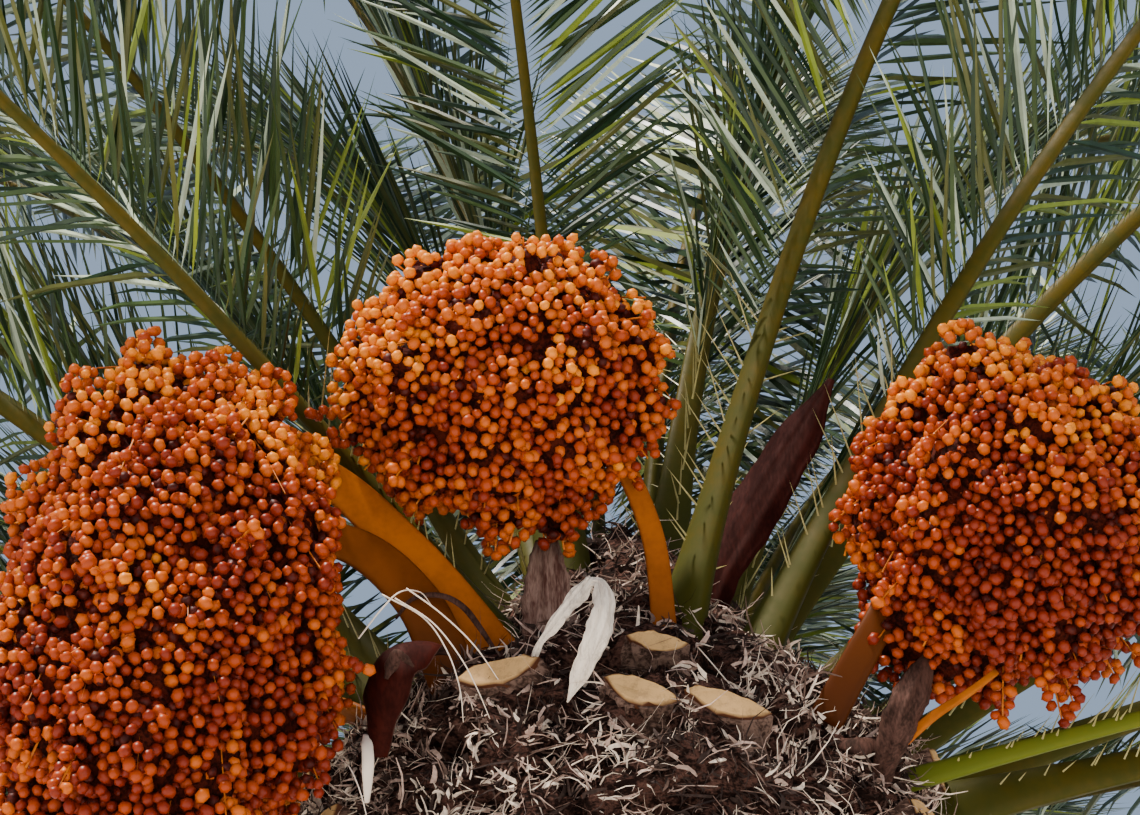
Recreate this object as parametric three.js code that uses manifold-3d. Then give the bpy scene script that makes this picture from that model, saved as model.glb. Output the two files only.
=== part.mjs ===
// A date palm: a stout scarred trunk with a root flare, a shaggy head of cut leaf bases, a full crown of
// arching feather fronds, and heavy bunches of orange fruit on flat stalks.
// Millimetres, +Z up. The origin is the centre of the flat cut under the trunk, at ground level.
import * as THREE from "three";
import { mergeVertices } from "three/addons/utils/BufferGeometryUtils.js";
import Module from "manifold-3d";

const wasm = await Module();
wasm.setup();

// Driving sizes of the trunk and its head.
const RIM_HEIGHT = 3500;
const HEAD_RADIUS = 385;
const STEM_RADIUS = 325;
const FLARE_RADIUS = 500;
const TIP_HEIGHT = RIM_HEIGHT + 430;
const CLEAR = 0.3;

// Leaf scars on the stem, and the cut leaf bases round the head.
const SCARS_ROUND = 14;
const SCAR_PITCH = 90;
const SCAR_RELIEF = 9;
const STUBS_ROUND = 12;
const STUB_ROWS = 2;
const STUB_ROW_PITCH = 135;
const STUB_TURN = 14;
const STUB_WIDTH = 118;
const STUB_THICKNESS = 38;
const STUB_LENGTH = 42;
const STUB_LEAN = 36;
const STUB_LEAN_STEP = 10;
const STUB_ROLL = 20;
const STUB_SIDES = 6;
const FRONT_SECTOR = [222, 318];
const FRONT_STUBS = [
  { azimuth: 248.6, height: 3425, length: 48, lean: 28, width: 116, thickness: 36, roll: 2 },
  { azimuth: 271.6, height: 3374, length: 48, lean: 28, width: 98, thickness: 36, roll: -19 },
  { azimuth: 284.6, height: 3366, length: 46, lean: 28, width: 120, thickness: 34, roll: -10 },
  { azimuth: 276.5, height: 3490, length: 30, lean: 40, width: 80, thickness: 26, roll: -6 },
];

// Fronds: the rib, and the leaflets on it.
const CURVE_STEPS = 48;
const DROOP_POWER = 1.35;
const RIB_BASE_WIDTH = 92;
const RIB_TIP_WIDTH = 8;
const RIB_STALK_WIDTH = 43;
const RIB_DEPTH_SHARE = 0.62;
const STALK_STATIONS = [0, 60, 150, 290];
const LEAF_START = 430;
const LEAFY_SHARE = 0.985;
const LEAF_LONGEST = 480;
const TEETH = 12;
const TOOTH_CROWDING = 0.92;
const FRONDS_BY_RULE = 64;
const GOLDEN_ANGLE = 137.508;
const FIRST_AZIMUTH = 20;
const SEAT_SINK = 38;
const FRONT_GAP = 54;
const LOW_FRONT_GAP = 78;
const NAMED_GAP = 13.5;
const STALK_GAP = 14;
const LOW_LIFT = 36;
const CLEARING_ROUNDS = 14;
const CLEARING_STEP = 0.8;

// Fruit bunches.
const LOBES = 26;
const LOBE_RISE = 0.2;
const STALK_WIDTHS = [80, 76, 72, 68, 62, 54, 40];
const STALK_THICKNESS = 17;
const BUNCH_DETAIL = 4;

const rad = THREE.MathUtils.degToRad;
const vec = (x, y, z) => new THREE.Vector3(x, y, z);

// A repeatable number from 0 to 1 for two whole numbers.
function chance(a, b) {
  const v = Math.sin(a * 12.9898 + b * 78.233) * 43758.5453;
  return v - Math.floor(v);
}

// Solids and geometries.
function solidFrom(geometry) {
  const bare = new THREE.BufferGeometry();
  bare.setAttribute("position", geometry.getAttribute("position"));
  bare.setIndex(geometry.index);
  const merged = mergeVertices(bare, 1e-3);
  return new wasm.Manifold(
    new wasm.Mesh({
      numProp: 3,
      vertProperties: merged.attributes.position.array,
      triVerts: new Uint32Array(merged.index.array),
    }),
  );
}

function geometryFrom(solid) {
  const mesh = solid.getMesh();
  const geometry = new THREE.BufferGeometry();
  geometry.setAttribute("position", new THREE.BufferAttribute(mesh.vertProperties, 3));
  geometry.setIndex(new THREE.BufferAttribute(mesh.triVerts, 1));
  geometry.computeVertexNormals();
  return geometry;
}

function largestPiece(solid) {
  return solid.decompose().reduce((a, b) => (b.volume() > a.volume() ? b : a));
}

// A closed skin through rings of points that all have the same count and go round the same way.
// flip[i] turns the diagonals of the faces between ring i and the next.
function loft(rings, flip = []) {
  const count = rings[0].length;
  const positions = rings.flat().flatMap((p) => [p.x, p.y, p.z]);
  const index = [];
  for (let i = 0; i + 1 < rings.length; i++) {
    for (let j = 0; j < count; j++) {
      const a = i * count + j;
      const b = i * count + ((j + 1) % count);
      const c = b + count;
      const d = a + count;
      const slanted = flip[i] ? flip[i](j) : false;
      if (slanted) index.push(a, b, d, b, c, d);
      else index.push(a, b, c, a, c, d);
    }
  }
  const last = (rings.length - 1) * count;
  for (let j = 1; j + 1 < count; j++) {
    index.push(0, j + 1, j);
    index.push(last, last + j, last + j + 1);
  }
  const geometry = new THREE.BufferGeometry();
  geometry.setAttribute("position", new THREE.Float32BufferAttribute(positions, 3));
  geometry.setIndex(index);
  return geometry;
}

function loftSolid(rings, flip) {
  const made = solidFrom(loft(rings, flip));
  if (made.volume() > 0) return made;
  return solidFrom(loft(rings.map((ring) => [...ring].reverse()), flip));
}

// The trunk's outline: [radius, height] from the root flare to the growing tip.
function trunkOutline(grow) {
  const rows = [
    [FLARE_RADIUS, 0],
    [FLARE_RADIUS * 0.95, 50],
    [FLARE_RADIUS * 0.82, 180],
    [FLARE_RADIUS * 0.73, 400],
    [STEM_RADIUS * 1.04, 800],
    [STEM_RADIUS, 1500],
    [STEM_RADIUS, 2200],
    [STEM_RADIUS * 1.05, 2700],
    [HEAD_RADIUS * 0.97, 3000],
    [HEAD_RADIUS * 1.04, 3250],
    [HEAD_RADIUS * 1.02, RIM_HEIGHT - 80],
    [HEAD_RADIUS * 0.95, RIM_HEIGHT],
    [HEAD_RADIUS * 0.72, RIM_HEIGHT + 90],
    [HEAD_RADIUS * 0.42, RIM_HEIGHT + 230],
    [HEAD_RADIUS * 0.16, RIM_HEIGHT + 370],
    [HEAD_RADIUS * 0.03, TIP_HEIGHT],
  ];
  return rows.map(([radius, height], i) => [radius + grow, height + (i > 11 ? grow : 0)]);
}

function trunkRadius(height, grow) {
  const rows = trunkOutline(grow);
  const next = rows.findIndex((row) => row[1] > height);
  if (next < 1) return rows[next < 0 ? rows.length - 1 : 0][0];
  const [r0, z0] = rows[next - 1];
  const [r1, z1] = rows[next];
  return r0 + ((r1 - r0) * (height - z0)) / (z1 - z0);
}

// The height of the dome over the rim at a distance from the trunk's axis.
function domeHeight(radius) {
  const rows = trunkOutline(0).slice(11);
  const next = rows.findIndex((row) => row[0] < radius);
  if (next < 1) return rows[next < 0 ? rows.length - 1 : 0][1];
  const [r0, z0] = rows[next - 1];
  const [r1, z1] = rows[next];
  return z0 + ((z1 - z0) * (r0 - radius)) / (r0 - r1);
}

// Rings of the stem, each turned half a scar from the one below, with every other ring standing proud.
function stemRings(grow) {
  const rings = [];
  const lowest = 300;
  const rows = Math.floor((RIM_HEIGHT - 600 - lowest) / SCAR_PITCH);
  const heights = [0, 50, 180];
  for (let i = 0; i <= rows; i++) heights.push(lowest + i * SCAR_PITCH);
  heights.push(3000, 3250, RIM_HEIGHT - 80, RIM_HEIGHT);
  for (const [, height] of trunkOutline(grow).slice(12)) heights.push(height);
  heights.forEach((height, i) => {
    const scarred = height >= lowest && height < 2950;
    const proud = scarred && i % 2 ? SCAR_RELIEF : 0;
    const radius = trunkRadius(height, grow) + proud;
    const ring = [];
    for (let j = 0; j < SCARS_ROUND; j++) {
      const turn = ((j + (i % 2) / 2) / SCARS_ROUND) * 2 * Math.PI;
      ring.push(vec(radius * Math.cos(turn), radius * Math.sin(turn), height));
    }
    rings.push(ring);
  });
  return rings;
}

// The cut leaf bases. Those in the front sector are set one by one, and the others go round by rule.
function stubs() {
  const found = [...FRONT_STUBS];
  for (let row = 0; row < STUB_ROWS; row++) {
    for (let place = 0; place < STUBS_ROUND; place++) {
      const azimuth = STUB_TURN + ((place + (row % 2) / 2) / STUBS_ROUND) * 360;
      if (azimuth > FRONT_SECTOR[0] && azimuth < FRONT_SECTOR[1]) continue;
      found.push({
        azimuth,
        height: RIM_HEIGHT - 45 - row * STUB_ROW_PITCH,
        length: STUB_LENGTH * (0.85 + 0.3 * chance(row, place)),
        lean: STUB_LEAN + STUB_LEAN_STEP * row,
        width: STUB_WIDTH * (0.8 + 0.2 * chance(row + 5, place)),
        thickness: STUB_THICKNESS,
        roll: STUB_ROLL * (chance(row + 9, place) - 0.5),
      });
    }
  }
  return found;
}

// One cut leaf base: a flat six-sided wedge that leans out and up from the head.
function stubSolid(stub, grow) {
  const wedge = new THREE.CylinderGeometry(0.5, 0.56, 2 * (stub.length + grow), STUB_SIDES, 1);
  wedge.scale(stub.width + 2 * grow, 1, stub.thickness + 2 * grow);
  const outwards = new THREE.Matrix4()
    .makeRotationZ(rad(stub.azimuth))
    .multiply(new THREE.Matrix4().makeTranslation(trunkRadius(stub.height, 0) - 4, 0, stub.height))
    .multiply(new THREE.Matrix4().makeRotationY(rad(-stub.lean)))
    .multiply(new THREE.Matrix4().makeRotationX(rad(stub.roll)))
    .multiply(new THREE.Matrix4().makeBasis(vec(0, 1, 0), vec(1, 0, 0), vec(0, 0, -1)));
  wedge.applyMatrix4(outwards);
  return solidFrom(wedge);
}

function trunkSolid(grow) {
  return stubs().reduce((made, stub) => made.add(stubSolid(stub, grow)), loftSolid(stemRings(grow)));
}

// Fruit bunches: where each hangs, its half-sizes, and the flat stalks that carry it from the head. The first
// four stand out in front. The rest are hung round the back, each on a stalk that bends down over the rim.
const BUNCHES = [
  {
    name: "fruit_middle",
    onEdge: true,
    at: vec(-152, -440, 3836),
    half: vec(216, 200, 208),
    slim: 0.68,
    stalks: [[vec(48, -296, 3556), vec(30, -345, 3690), vec(-30, -390, 3800), vec(-130, -430, 3850)]],
  },
  {
    name: "fruit_left",
    onEdge: true,
    at: vec(-542, -436, 3478),
    half: vec(230, 238, 434),
    stalks: [
      [vec(-158, -285, 3535), vec(-272, -332, 3664), vec(-400, -372, 3762), vec(-520, -410, 3740)],
      [vec(-205, -300, 3475), vec(-260, -335, 3590), vec(-350, -362, 3655), vec(-500, -410, 3600)],
    ],
  },
  {
    name: "fruit_low_left",
    at: vec(-936, -262, 3290),
    half: vec(196, 196, 280),
    stalks: [[vec(-275, -190, 3485), vec(-420, -130, 3575), vec(-640, -115, 3590), vec(-905, -235, 3400)]],
  },
  {
    name: "fruit_right",
    onEdge: true,
    at: vec(478, -386, 3676),
    half: vec(236, 226, 248),
    slim: 0.72,
    stalks: [[vec(238, -290, 3440), vec(300, -335, 3540), vec(360, -350, 3640), vec(470, -380, 3700)]],
  },
  hungBunch("fruit_rear_right", 52, 3190, vec(200, 200, 262)),
  hungBunch("fruit_rear", 110, 3215, vec(206, 200, 250)),
  hungBunch("fruit_rear_left", 162, 3170, vec(196, 205, 268)),
];

function hungBunch(name, azimuth, height, half) {
  const turn = rad(azimuth);
  const out = (radius, z) => vec(radius * Math.cos(turn), radius * Math.sin(turn), z);
  const stalk = [out(330, 3480), out(450, 3560), out(580, 3530), out(650, height + 0.4 * half.z)];
  return { name, azimuth, hung: true, at: out(650, height), half, stalks: [stalk] };
}

// Fronds that the crown is built round, from the view in front of it. Each starts at a point on the head.
// lift is the rise of its foot above level, and droop the angle that it bends over by, in degrees.
const NAMED_FRONDS = [
  { name: "frond_front_right", base: vec(58, -215, 3600), azimuth: -44, lift: 68, droop: 70, length: 3500 },
  { name: "frond_right", base: vec(142, -205, 3550), azimuth: -26, lift: 59, droop: 61, length: 3600 },
  { name: "frond_left", base: vec(-136, -205, 3581), azimuth: 207, lift: 44, droop: 52, length: 3600 },
  { name: "frond_left_rear", base: vec(-128, -20, 3700), azimuth: 196, lift: 60, droop: 46, length: 3500 },
  { name: "frond_middle", base: vec(-64, -50, 3764), azimuth: 253, lift: 74, droop: 46, length: 3400 },
  { name: "frond_low_right", base: vec(292, -192, 3401), azimuth: -28, lift: 1, droop: 36, length: 3700 },
  { name: "frond_rear_right", base: vec(143, 0, 3667), azimuth: 2, lift: 57, droop: 51, length: 3500 },
  { name: "frond_low_left", base: vec(-330, -40, 3410), azimuth: 176, lift: 6, droop: 46, length: 3700 },
];

// The rest of the crown: a golden-angle spiral that opens from the upright heart to the level outer fronds,
// left open low down at the front, where the fruit hangs.
function frondsByRule() {
  const found = [];
  for (let i = 0; i < FRONDS_BY_RULE; i++) {
    const rank = (i + 0.5) / FRONDS_BY_RULE;
    const lift = 84 - 78 * rank ** 0.9;
    const azimuth = besideStalks((FIRST_AZIMUTH + i * GOLDEN_ANGLE) % 360, lift);
    const reach = HEAD_RADIUS * (0.1 + 0.86 * rank ** 0.55);
    const turn = rad(azimuth);
    const height = domeHeight(reach) - SEAT_SINK - 30 * rank;
    found.push({
      name: "frond_" + String(i + 1).padStart(2, "0"),
      base: vec(reach * Math.cos(turn), reach * Math.sin(turn), height),
      azimuth,
      lift,
      droop: 44 + 22 * chance(i, 3),
      length: 3150 + 650 * rank ** 0.7,
    });
  }
  return found.filter((frond) => !inFront(frond) && !nearNamed(frond));
}

// A low frond is turned aside from the stalk of a bunch that hangs below it.
function besideStalks(azimuth, lift) {
  if (lift > LOW_LIFT) return azimuth;
  for (const bunch of BUNCHES.filter(({ hung }) => hung)) {
    const side = azimuth - bunch.azimuth;
    if (Math.abs(side) < STALK_GAP) return bunch.azimuth + (side < 0 ? -STALK_GAP : STALK_GAP);
  }
  return azimuth;
}

function turnBetween(a, b) {
  const d = (((a - b) % 360) + 540) % 360;
  return Math.abs(d - 180);
}

function inFront(frond) {
  return turnBetween(frond.azimuth, -90) < (frond.lift > LOW_LIFT ? FRONT_GAP : LOW_FRONT_GAP);
}

function nearNamed(frond) {
  const way = ribDirection(frond, frond.lift);
  return NAMED_FRONDS.some((named) => way.angleTo(ribDirection(named, named.lift)) < rad(NAMED_GAP));
}

function ribDirection(frond, rise) {
  const turn = rad(frond.azimuth);
  const climb = rad(rise);
  return vec(Math.cos(climb) * Math.cos(turn), Math.cos(climb) * Math.sin(turn), Math.sin(climb));
}

// The line of a frond's rib: points at equal steps with the direction ahead at each.
function ribLine(frond) {
  const step = frond.length / CURVE_STEPS;
  const line = [];
  const at = frond.base.clone();
  for (let i = 0; i <= CURVE_STEPS; i++) {
    const ahead = ribDirection(frond, frond.lift - frond.droop * (i / CURVE_STEPS) ** DROOP_POWER);
    line.push({ at: at.clone(), ahead });
    at.addScaledVector(ahead, step);
  }
  return line;
}

// The rib at a share t of its length: its point, and the directions ahead, to its left and over it.
function ribFrame(line, turn, t) {
  const place = Math.min(t, 1) * CURVE_STEPS;
  const i = Math.min(Math.floor(place), CURVE_STEPS - 1);
  const share = place - i;
  const at = line[i].at.clone().lerp(line[i + 1].at, share);
  const ahead = line[i].ahead.clone().lerp(line[i + 1].ahead, share).normalize();
  const left = vec(-Math.sin(turn), Math.cos(turn), 0);
  return { at, ahead, left, over: ahead.clone().cross(left) };
}

// Half the rib's width at a distance along it: a broad clasping foot, then an even taper.
function ribHalfWidth(frond, along) {
  const t = along / frond.length;
  const stalk = RIB_TIP_WIDTH + (RIB_STALK_WIDTH - RIB_TIP_WIDTH) * (1 - t) ** 1.2;
  const foot = (RIB_BASE_WIDTH - RIB_STALK_WIDTH) * Math.exp(-along / 150);
  return (stalk + foot) / 2;
}

// A leaflet at a share u of the leafy stretch: its length, and its angles from the rib and above its plane.
function leaflet(u) {
  const swell = 0.42 + 0.58 * Math.sin(Math.PI * 0.86 * u ** 0.7 + 0.25);
  const young = Math.min(1, 0.35 + u * 9);
  return { length: LEAF_LONGEST * swell * young, sweep: rad(62 - 32 * u), raise: rad(30 - 14 * u) };
}

function leafTip(frame, u, side, length) {
  const { sweep, raise } = leaflet(u);
  return frame.at
    .clone()
    .addScaledVector(frame.ahead, length * Math.cos(sweep))
    .addScaledVector(frame.left, side * length * Math.sin(sweep) * Math.cos(raise))
    .addScaledVector(frame.over, length * Math.sin(sweep) * Math.sin(raise));
}

// The share of the leafy stretch at which tooth k stands, and the distance along the rib of such a share.
function toothShare(k) {
  return (k / TEETH) ** TOOTH_CROWDING;
}

function leafRoot(frond, share) {
  return LEAF_START + share * LEAFY_SHARE * (frond.length - LEAF_START);
}

// One frond: a thin blade round its rib, cut to the rib between its teeth. keep holds the share of its
// full length that each tooth keeps, left and right.
function frondSolid(frond, keep) {
  const line = ribLine(frond);
  const turn = rad(frond.azimuth);
  const rings = [];
  const flip = [];
  const addRing = (along, tips) => {
    const frame = ribFrame(line, turn, along / frond.length);
    const half = ribHalfWidth(frond, along);
    const depth = half * RIB_DEPTH_SHARE;
    const left = tips ? tips[0](frame) : frame.at.clone().addScaledVector(frame.left, half);
    const right = tips ? tips[1](frame) : frame.at.clone().addScaledVector(frame.left, -half);
    const under = frame.at.clone().addScaledVector(frame.over, -1.5 * depth);
    const over = frame.at.clone().addScaledVector(frame.over, 0.6 * depth);
    rings.push([left, under, right, over]);
  };
  for (const along of STALK_STATIONS) {
    addRing(along);
    flip.push(null);
  }
  for (let k = 0; k < TEETH; k++) {
    const tip = toothShare(k + 0.5);
    const reach = (side) => (frame) =>
      leafTip(frame, tip, side, leaflet(tip).length * keep[k][side > 0 ? 0 : 1]);
    addRing(leafRoot(frond, toothShare(k)));
    flip.push((j) => j === 0 || j === 2);
    addRing(leafRoot(frond, tip), [reach(1), reach(-1)]);
    flip.push((j) => j === 1 || j === 3);
  }
  addRing(frond.length);
  return loftSolid(rings, flip);
}

// A tube of flat section along points: width across, thickness the other way, with a taper to its end.
function strap(points, widths, thickness, up, sides = 6) {
  const curve = new THREE.CatmullRomCurve3(points, false, "centripetal");
  const steps = widths.length - 1;
  const rings = widths.map((width, i) => {
    const t = i / steps;
    const at = curve.getPointAt(t);
    const ahead = curve.getTangentAt(t);
    const across = ahead.clone().cross(up).normalize();
    const out = across.clone().cross(ahead);
    const ring = [];
    for (let j = 0; j < sides; j++) {
      const turn = (j / sides) * 2 * Math.PI;
      const depth = Math.min(thickness, width * 0.8);
      ring.push(
        at
          .clone()
          .addScaledVector(across, (width / 2) * Math.cos(turn))
          .addScaledVector(out, (depth / 2) * Math.sin(turn)),
      );
    }
    return ring;
  });
  return loftSolid(rings);
}

// The middles of a bunch's lumps, each the end of a spray of fruit, spread evenly over a ball.
function lobe(i, seed) {
  const z = 1 - (2 * i + 1) / LOBES;
  const turn = rad(GOLDEN_ANGLE * i + 360 * chance(seed, 7));
  const flat = Math.sqrt(1 - z * z);
  return vec(flat * Math.cos(turn), flat * Math.sin(turn), z);
}

// How far the bunch reaches in a direction, as a share of its half-size.
function bunchReach(way, seed) {
  let reach = 1 - LOBE_RISE;
  for (let i = 0; i < LOBES; i++) {
    const near = Math.max(0, lobe(i, seed).dot(way));
    reach = Math.max(reach, 1 - LOBE_RISE + LOBE_RISE * (0.55 + 0.45 * chance(seed, i)) * near ** 14);
  }
  return reach;
}

function bunchSolid(bunch, seed) {
  const mass = new THREE.IcosahedronGeometry(1, BUNCH_DETAIL);
  const spots = mass.getAttribute("position");
  for (let i = 0; i < spots.count; i++) {
    const way = vec(0, 0, 0).fromBufferAttribute(spots, i).normalize();
    const spot = way.clone().multiplyScalar(bunchReach(way, seed)).multiply(bunch.half).add(bunch.at);
    spots.setXYZ(i, spot.x, spot.y, spot.z);
  }
  const widths = STALK_WIDTHS.map((width) => width * (bunch.slim ?? 1));
  const up = bunch.onEdge ? vec(0, -1, 0.05) : vec(0, 0, 1);
  const stalks = bunch.stalks.map((points) => strap(points, widths, STALK_THICKNESS, up));
  return stalks.reduce((whole, stalk) => whole.add(stalk), solidFrom(mass));
}

// Dry bracts that stand among the frond feet, and one that has folded over the rim.
const BRACTS = [
  {
    name: "bract_right",
    points: [vec(72, -100, 3620), vec(104, -140, 3740), vec(190, -195, 3880), vec(282, -240, 4012)],
    widths: [40, 74, 88, 84, 58, 6],
    thickness: 16,
    up: vec(-0.35, -0.9, 0.2),
  },
  {
    name: "bract_middle",
    points: [vec(-85, -275, 3540), vec(-98, -286, 3630), vec(-106, -284, 3712)],
    widths: [52, 70, 66, 40, 8],
    thickness: 20,
    up: vec(0, -1, 0.2),
  },
  {
    name: "husk_folded",
    points: [
      vec(-116, -370, 3405),
      vec(-82, -438, 3485),
      vec(-50, -462, 3535),
      vec(-30, -470, 3525),
      vec(-44, -472, 3450),
      vec(-76, -460, 3370),
    ],
    widths: [22, 28, 32, 34, 34, 34, 34, 32, 30, 26, 18, 8],
    thickness: 7,
    up: vec(0.3, -1, 0.2),
    sides: 4,
  },
];

// Putting the palm together. A piece that meets the head is cut to stand just clear of it.
const COLOURS = { trunk: 0x6b5443, frond: 0x4f6b35, fruit: 0xd9731e, bract: 0x5d2a1c, husk: 0xd8cbb4 };
const palm = new THREE.Group();
const placed = [];

function place(name, solid) {
  const color = COLOURS[name.split("_")[0]];
  const mesh = new THREE.Mesh(geometryFrom(solid), new THREE.MeshStandardMaterial({ color, roughness: 0.8 }));
  mesh.name = name;
  palm.add(mesh);
  placed.push({ name, solid, box: solid.boundingBox() });
}

function boxesMeet(a, b) {
  return [0, 1, 2].every((i) => a.min[i] < b.max[i] && b.min[i] < a.max[i]);
}

// The corners of what a solid shares with the pieces that are already placed.
function sharedPoints(solid) {
  const box = solid.boundingBox();
  const points = [];
  for (const other of placed) {
    if (!boxesMeet(box, other.box)) continue;
    const common = solid.intersect(other.solid);
    if (common.volume() < 1e-3) continue;
    const { vertProperties } = common.getMesh();
    for (let i = 0; i < vertProperties.length; i += 3) {
      points.push({ at: vec(...vertProperties.subarray(i, i + 3)), other: other.name });
    }
  }
  return points;
}

// Shortens the teeth that would touch a neighbour until the frond has its space to itself.
function clearedFrond(frond, trunkClear) {
  const keep = Array.from({ length: TEETH }, () => [1, 1]);
  const line = ribLine(frond);
  const turn = rad(frond.azimuth);
  const toothReach = (frond.length - LEAF_START) / TEETH / 2;
  for (let round = 0; round < CLEARING_ROUNDS; round++) {
    const solid = largestPiece(frondSolid(frond, keep).subtract(trunkClear));
    const points = sharedPoints(solid);
    if (!points.length) return solid;
    if (round === CLEARING_ROUNDS - 1) {
      console.log(frond.name + " still meets " + [...new Set(points.map((p) => p.other))].join(", "));
      return solid;
    }
    for (let k = 0; k < TEETH; k++) {
      const tip = toothShare(k + 0.5);
      const root = ribFrame(line, turn, leafRoot(frond, tip) / frond.length);
      [1, -1].forEach((side, s) => {
        const end = leafTip(root, tip, side, leaflet(tip).length * keep[k][s]);
        const tooth = new THREE.Line3(root.at, end);
        const near = points.some((p) => {
          const foot = tooth.closestPointToPoint(p.at, true, vec(0, 0, 0));
          const sideways = p.at.clone().sub(root.at).dot(root.left) * side;
          return foot.distanceTo(p.at) < toothReach && sideways > -RIB_TIP_WIDTH;
        });
        if (near) keep[k][s] *= CLEARING_STEP;
      });
    }
  }
  return null;
}

place("trunk", trunkSolid(0));
const trunkClear = trunkSolid(CLEAR);
BUNCHES.forEach((bunch, i) => place(bunch.name, largestPiece(bunchSolid(bunch, i).subtract(trunkClear))));
for (const bract of BRACTS) {
  const solid = strap(bract.points, bract.widths, bract.thickness, bract.up, bract.sides);
  place(bract.name, largestPiece(solid.subtract(trunkClear)));
}
for (const frond of [...NAMED_FRONDS, ...frondsByRule()]) place(frond.name, clearedFrond(frond, trunkClear));

export default palm;
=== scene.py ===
"""A date palm in full dress, laid out as an add-on and run as a script.

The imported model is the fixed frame. The finer fronds, the fruit, the bark and the fibre are grown over it by
the same rules as its solids, in metres, with +Z up and the origin at the centre of the cut under the trunk.
"""

import math
from collections import namedtuple

import bmesh
import bpy
import numpy as np
from bpy.props import FloatProperty, FloatVectorProperty, IntProperty, PointerProperty
from bpy.types import Operator, Panel, PropertyGroup
from mathutils import Euler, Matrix, Vector, kdtree, noise


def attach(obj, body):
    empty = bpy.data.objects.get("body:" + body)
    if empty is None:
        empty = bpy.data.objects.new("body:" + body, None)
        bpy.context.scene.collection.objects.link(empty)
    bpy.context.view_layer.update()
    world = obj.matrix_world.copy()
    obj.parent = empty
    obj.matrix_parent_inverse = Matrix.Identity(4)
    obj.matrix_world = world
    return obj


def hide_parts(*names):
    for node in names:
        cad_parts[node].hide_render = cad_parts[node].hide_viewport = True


bl_info = {
    "name": "Date Palm",
    "version": (1, 0, 0),
    "blender": (4, 5, 0),
    "location": "View3D > Sidebar > Date Palm",
    "description": "Fronds, fruit, bark and fibre of a date palm, built on its packed frame",
    "category": "Add Mesh",
}

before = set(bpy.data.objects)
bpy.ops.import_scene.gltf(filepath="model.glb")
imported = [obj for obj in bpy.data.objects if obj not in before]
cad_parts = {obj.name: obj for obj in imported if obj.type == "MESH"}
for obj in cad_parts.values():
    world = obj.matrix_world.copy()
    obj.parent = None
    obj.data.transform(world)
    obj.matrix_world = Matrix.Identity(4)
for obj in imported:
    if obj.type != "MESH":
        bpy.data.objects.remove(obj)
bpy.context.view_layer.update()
BODY = "root"
GOLDEN_ANGLE = 137.508
UP = np.array([0, 0, 1.0])

# The trunk and its head.
RIM_HEIGHT = 3.5
HEAD_RADIUS = 0.385
STEM_RADIUS = 0.325
FLARE_RADIUS = 0.5
TIP_HEIGHT = RIM_HEIGHT + 0.43
DOME_ROW = 11
TRUNK_ROWS = np.array([
    (FLARE_RADIUS, 0),
    (FLARE_RADIUS * 0.95, 0.05),
    (FLARE_RADIUS * 0.82, 0.18),
    (FLARE_RADIUS * 0.73, 0.4),
    (STEM_RADIUS * 1.04, 0.8),
    (STEM_RADIUS, 1.5),
    (STEM_RADIUS, 2.2),
    (STEM_RADIUS * 1.05, 2.7),
    (HEAD_RADIUS * 0.97, 3.0),
    (HEAD_RADIUS * 1.04, 3.25),
    (HEAD_RADIUS * 1.02, RIM_HEIGHT - 0.08),
    (HEAD_RADIUS * 0.95, RIM_HEIGHT),
    (HEAD_RADIUS * 0.72, RIM_HEIGHT + 0.09),
    (HEAD_RADIUS * 0.42, RIM_HEIGHT + 0.23),
    (HEAD_RADIUS * 0.16, RIM_HEIGHT + 0.37),
    (HEAD_RADIUS * 0.03, TIP_HEIGHT),
])
SCARS_ROUND = 14
SCAR_PITCH = 0.09
SCAR_LOWEST = 0.3
SCAR_HIGHEST = 2.95
STUBS_ROUND = 12
STUB_ROWS = 2
STUB_ROW_PITCH = 0.135
STUB_TURN = 14
STUB_WIDTH = 0.118
STUB_THICKNESS = 0.038
STUB_LENGTH = 0.042
STUB_ROLL = 20
STUB_LEAN = 36
STUB_LEAN_STEP = 10

# The ribs of the fronds and the leaflets on them.
CURVE_STEPS = 48
DROOP_POWER = 1.35
RIB_BASE_WIDTH = 0.09
RIB_TIP_WIDTH = 0.006
RIB_STALK_WIDTH = 0.041
# Ribs that the photograph shows slimmer than the rule has them: shares of the stalk's and the foot's width.
RIB_SLIM = {
    "frond_low_right": (0.5, 0.4),
    "frond_middle": (0.72, 1),
    "frond_right": (0.8, 1),
    "frond_left": (0.64, 0.8),
    "frond_left_rear": (0.64, 1),
}
# Ribs painted yellow-green as painted sunlight, where the light falls on them: how far each is tinted.
RIB_PAINTED_SUNLIGHT = {"frond_low_right": 0.32}
RIB_DEPTH_SHARE = 0.62
RIB_UNDER = 1.5
RIB_OVER = 0.6
FOOT_FADE = 0.15
LEAF_START = 0.43
LEAFY_SHARE = 0.985
LEAF_LONGEST = 0.48
FRONDS_BY_RULE = 64
FIRST_AZIMUTH = 20
SEAT_SINK = 0.038
FRONT_GAP = 54
LOW_FRONT_GAP = 78
NAMED_GAP = 13.5
STALK_GAP = 14
LOW_LIFT = 36
# How the rule's fronds change from the upright heart of the crown to its outside.
LIFT_FIRST = 84
LIFT_FALL = 78
SEAT_FIRST = 0.1
SEAT_GAIN = 0.86
SEAT_FALL = 0.03
DROOP_LEAST = 44
DROOP_SPREAD = 22
LENGTH_LEAST = 3.15
LENGTH_GAIN = 0.65

# The bunches of fruit.
LOBES = 26
LOBE_RISE = 0.2
LOBE_POWER = 14
STALK_WIDTHS = (0.08, 0.076, 0.072, 0.068, 0.062, 0.054, 0.04)
STRAP_THICKNESS = 0.017 * 0.75

# The view of the photograph: where its camera stands, its tilt up from level and its lens.
EYE = (-0.07, -3.152, 1.687)
EYE_TILT = 38
LENS = 87.1
SENSOR = 36.0

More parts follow.
